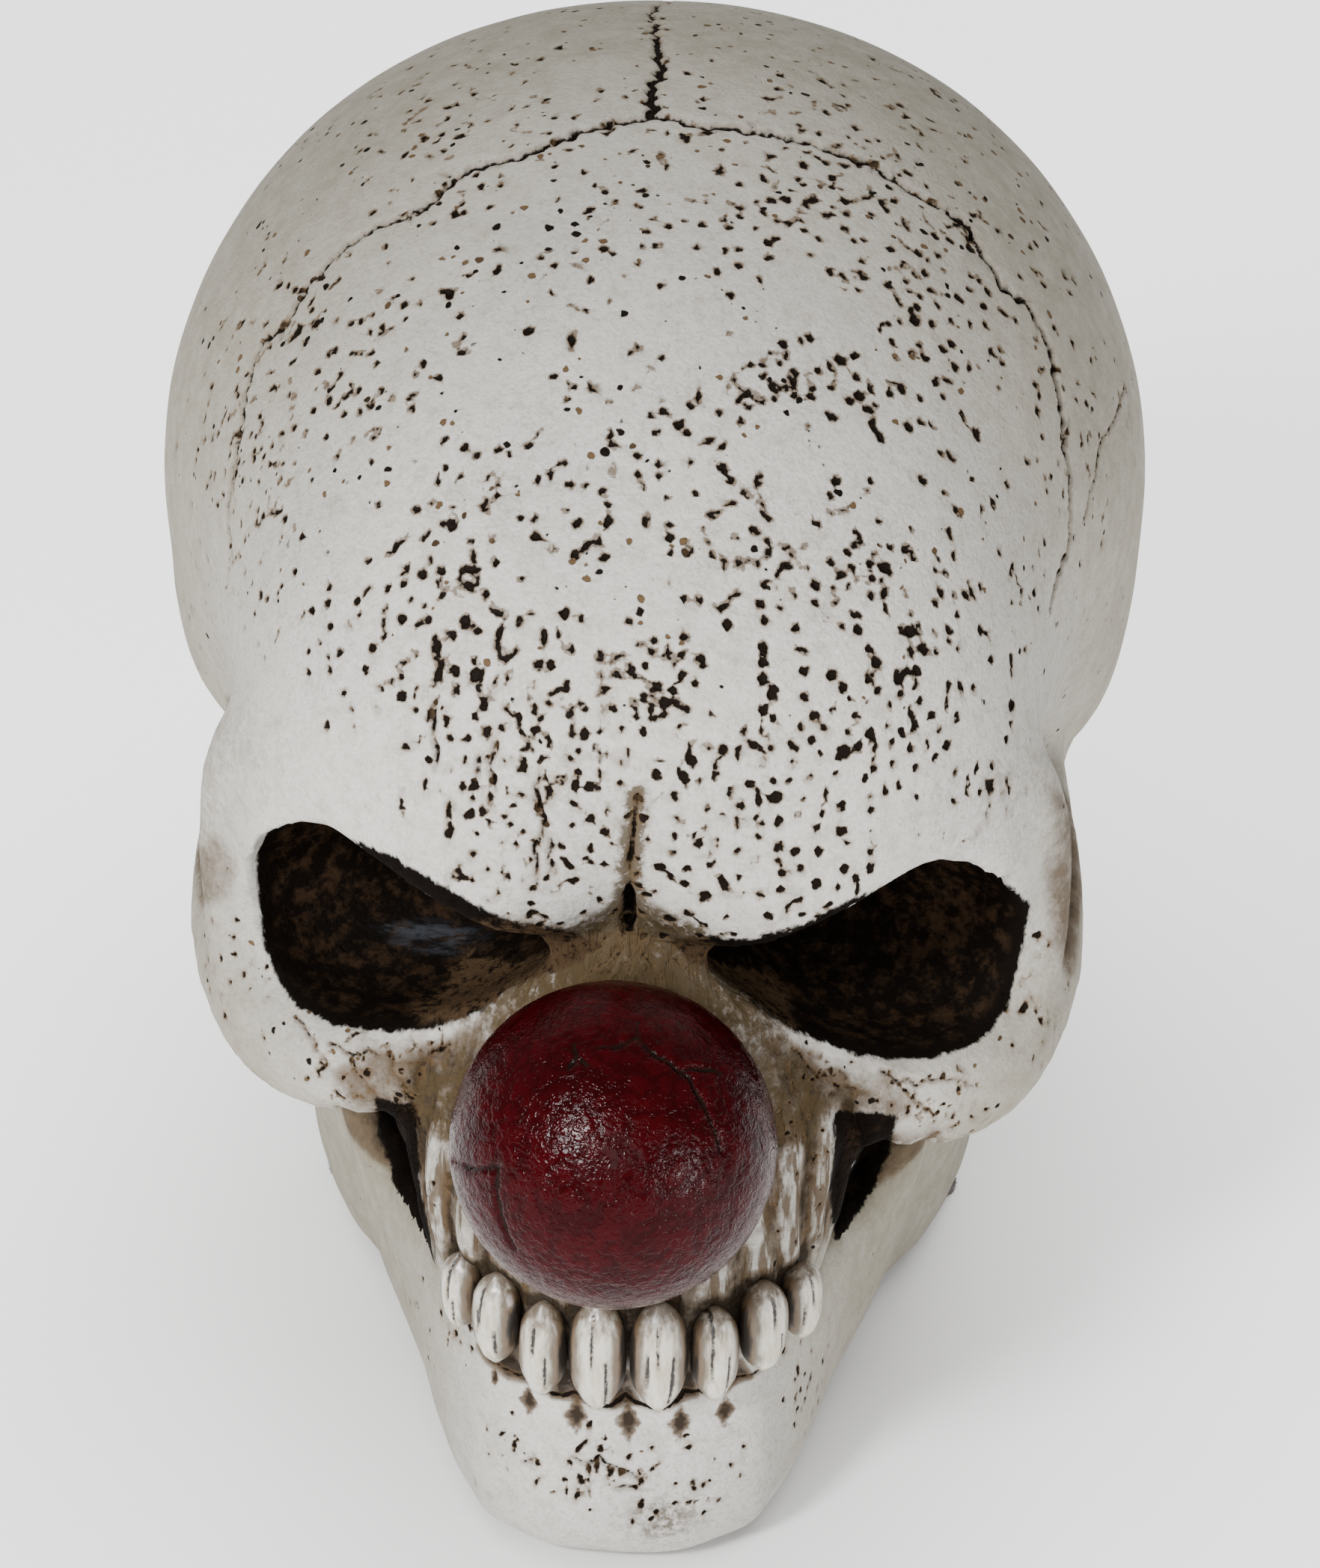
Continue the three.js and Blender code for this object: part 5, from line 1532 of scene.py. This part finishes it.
class OrnamentPaint(bpy.types.PropertyGroup):
    """Colours of the finishes."""

    bone: color("Bone", "Base coat of the casting", (0.61, 0.585, 0.54))
    bone_cool: color("Cool bone", "Cooler patches of the base coat", (0.56, 0.545, 0.515))
    bone_shade: color("Bone shade", "Faint stains over the base coat", (0.31, 0.27, 0.21))
    # Darker warm tone of the sides, partly ageing and partly painted shade where the light falls off.
    age: color("Age", "Warm tone that the sides have taken on", (0.25, 0.228, 0.172))
    # Brown of the wash in the hollows, also the colour of the painted shade in hollows, round the teeth and
    # in recesses.
    wash: color("Wash", "Brown wash left in hollows", (0.085, 0.052, 0.027))
    ochre: color("Ochre", "Warm stains", (0.07, 0.048, 0.023))
    halo: color("Halo", "Stain round a pit", (0.12, 0.075, 0.038))
    # Near black of pits and sutures, also painted shade in the deepest hollows and at the sides of the
    # crowns.
    dark: color("Dark", "Paint in pits and sutures", (0.009, 0.006, 0.004))
    # Dark paint of the sockets, also painted shade in them, under the brow and in the gaps beside the jaw;
    # the rim's brown is brushed over it.
    socket: color("Socket", "Paint deep in the eye sockets", (0.004, 0.0025, 0.0016))
    socket_rim: color("Socket rim", "Brushed paint near a socket's edge", (0.026, 0.0145, 0.0075))
    # A cool painted highlight inside a socket.
    socket_highlight: color("Glaze", "Cool paint brushed inside a socket", (0.042, 0.046, 0.055))
    tooth: color("Tooth", "Tooth enamel", (0.64, 0.605, 0.52))
    tooth_shade: color("Tooth shade", "Stain on the enamel", (0.46, 0.40, 0.30))
    lacquer: color("Lacquer", "Red lacquer of the nose", (0.036, 0.0008, 0.002))
    lacquer_light: color("Light lacquer", "Worn lacquer", (0.055, 0.002, 0.005))
    lacquer_dark: color("Dark lacquer", "Lacquer in the creases", (0.012, 0.0004, 0.0008))
    felt: color("Felt", "Felt dots under the jaw", (0.06, 0.045, 0.035))
    wood: color("Wood", "Dowels", (0.52, 0.36, 0.2))
    rubber: color("Rubber", "Plug in the pouring hole", (0.03, 0.03, 0.03))


class OrnamentStudio(bpy.types.PropertyGroup):
    """The floor and the lamps."""

    floor_size: length("Floor", "Length of the floor's side", 6.0)
    floor: color("Floor colour", "Colour of the floor", (0.94, 0.94, 0.94))
    air: amount("Air", "Strength of the light from all sides", 0.4)
    key: amount("Key", "Power of the lamp over the left", 11.5)
    front: amount("Front", "Power of the lamp in front", 4.0)
    side: amount("Side", "Power of the low lamp at the right", 0.7)
    back: amount("Back", "Power of the lamp behind", 4.0)
    glint: amount("Glint", "Power of the lamps that only glossy paint shows", 34.0)
    backdrop: amount("Backdrop", "Power of the lamp over the floor", 60.0)


class ORNAMENT_OT_skull(bpy.types.Operator):
    """Sculpt and paint the skull casting"""

    bl_idname = "ornament.skull"
    bl_label = "Skull"

    def execute(self, context):
        build_skull(context.scene.ornament_cast, context.scene.ornament_paint)
        return {"FINISHED"}


class ORNAMENT_OT_jaw(bpy.types.Operator):
    """Sculpt and paint the lower jaw"""

    bl_idname = "ornament.jaw"
    bl_label = "Lower jaw"

    def execute(self, context):
        build_jaw(context.scene.ornament_cast, context.scene.ornament_paint)
        return {"FINISHED"}


class ORNAMENT_OT_teeth(bpy.types.Operator):
    """Sculpt and paint the eight upper teeth"""

    bl_idname = "ornament.teeth"
    bl_label = "Upper teeth"

    def execute(self, context):
        build_teeth(context.scene.ornament_teeth, context.scene.ornament_paint)
        return {"FINISHED"}


class ORNAMENT_OT_nose(bpy.types.Operator):
    """Wrinkle and lacquer the ball nose"""

    bl_idname = "ornament.nose"
    bl_label = "Ball nose"

    def execute(self, context):
        build_nose(context.scene.ornament_nose, context.scene.ornament_paint)
        return {"FINISHED"}


class ORNAMENT_OT_fittings(bpy.types.Operator):
    """Make the felt dots and finish the dowels and the plug"""

    bl_idname = "ornament.fittings"
    bl_label = "Felt, dowels and plug"

    def execute(self, context):
        build_fittings(context.scene.ornament_fittings, context.scene.ornament_paint)
        return {"FINISHED"}


class ORNAMENT_OT_studio(bpy.types.Operator):
    """Set the camera, the floor and the lamps"""

    bl_idname = "ornament.studio"
    bl_label = "Studio"

    def execute(self, context):
        build_stage(context.scene.ornament_studio)
        return {"FINISHED"}


class ORNAMENT_PT_sidebar(bpy.types.Panel):
    """Lists the settings and the steps"""

    bl_label = "Clown Skull Ornament"
    bl_idname = "ORNAMENT_PT_sidebar"
    bl_space_type = "VIEW_3D"
    bl_region_type = "UI"
    bl_category = "Ornament"

    def draw(self, context):
        for group, operators in SIDEBAR:
            box = self.layout.box()
            if group:
                settings = getattr(context.scene, group)
                for name in type(settings).__annotations__:
                    box.prop(settings, name)
            for operator in operators:
                box.operator(operator)


GROUPS = {
    "ornament_studio": OrnamentStudio,
    "ornament_paint": OrnamentPaint,
    "ornament_cast": OrnamentCast,
    "ornament_teeth": OrnamentTeeth,
    "ornament_nose": OrnamentNose,
    "ornament_fittings": OrnamentFittings,
}
SIDEBAR = (
    ("ornament_studio", ("ornament.studio",)),
    ("ornament_paint", ()),
    ("ornament_cast", ("ornament.skull", "ornament.jaw")),
    ("ornament_teeth", ("ornament.teeth",)),
    ("ornament_nose", ("ornament.nose",)),
    ("ornament_fittings", ("ornament.fittings",)),
)
CLASSES = (*GROUPS.values(), ORNAMENT_OT_studio, ORNAMENT_OT_skull, ORNAMENT_OT_jaw, ORNAMENT_OT_teeth,
           ORNAMENT_OT_nose, ORNAMENT_OT_fittings, ORNAMENT_PT_sidebar)


def register():
    for cls in CLASSES:
        bpy.utils.register_class(cls)
    for name, group in GROUPS.items():
        setattr(bpy.types.Scene, name, PointerProperty(type=group))


def unregister():
    for name in GROUPS:
        delattr(bpy.types.Scene, name)
    for cls in reversed(CLASSES):
        bpy.utils.unregister_class(cls)


def main():
    register()
    steps = bpy.ops.ornament
    for step in (steps.studio, steps.skull, steps.jaw, steps.teeth, steps.nose, steps.fittings):
        step()


if __name__ == "__main__":
    main()
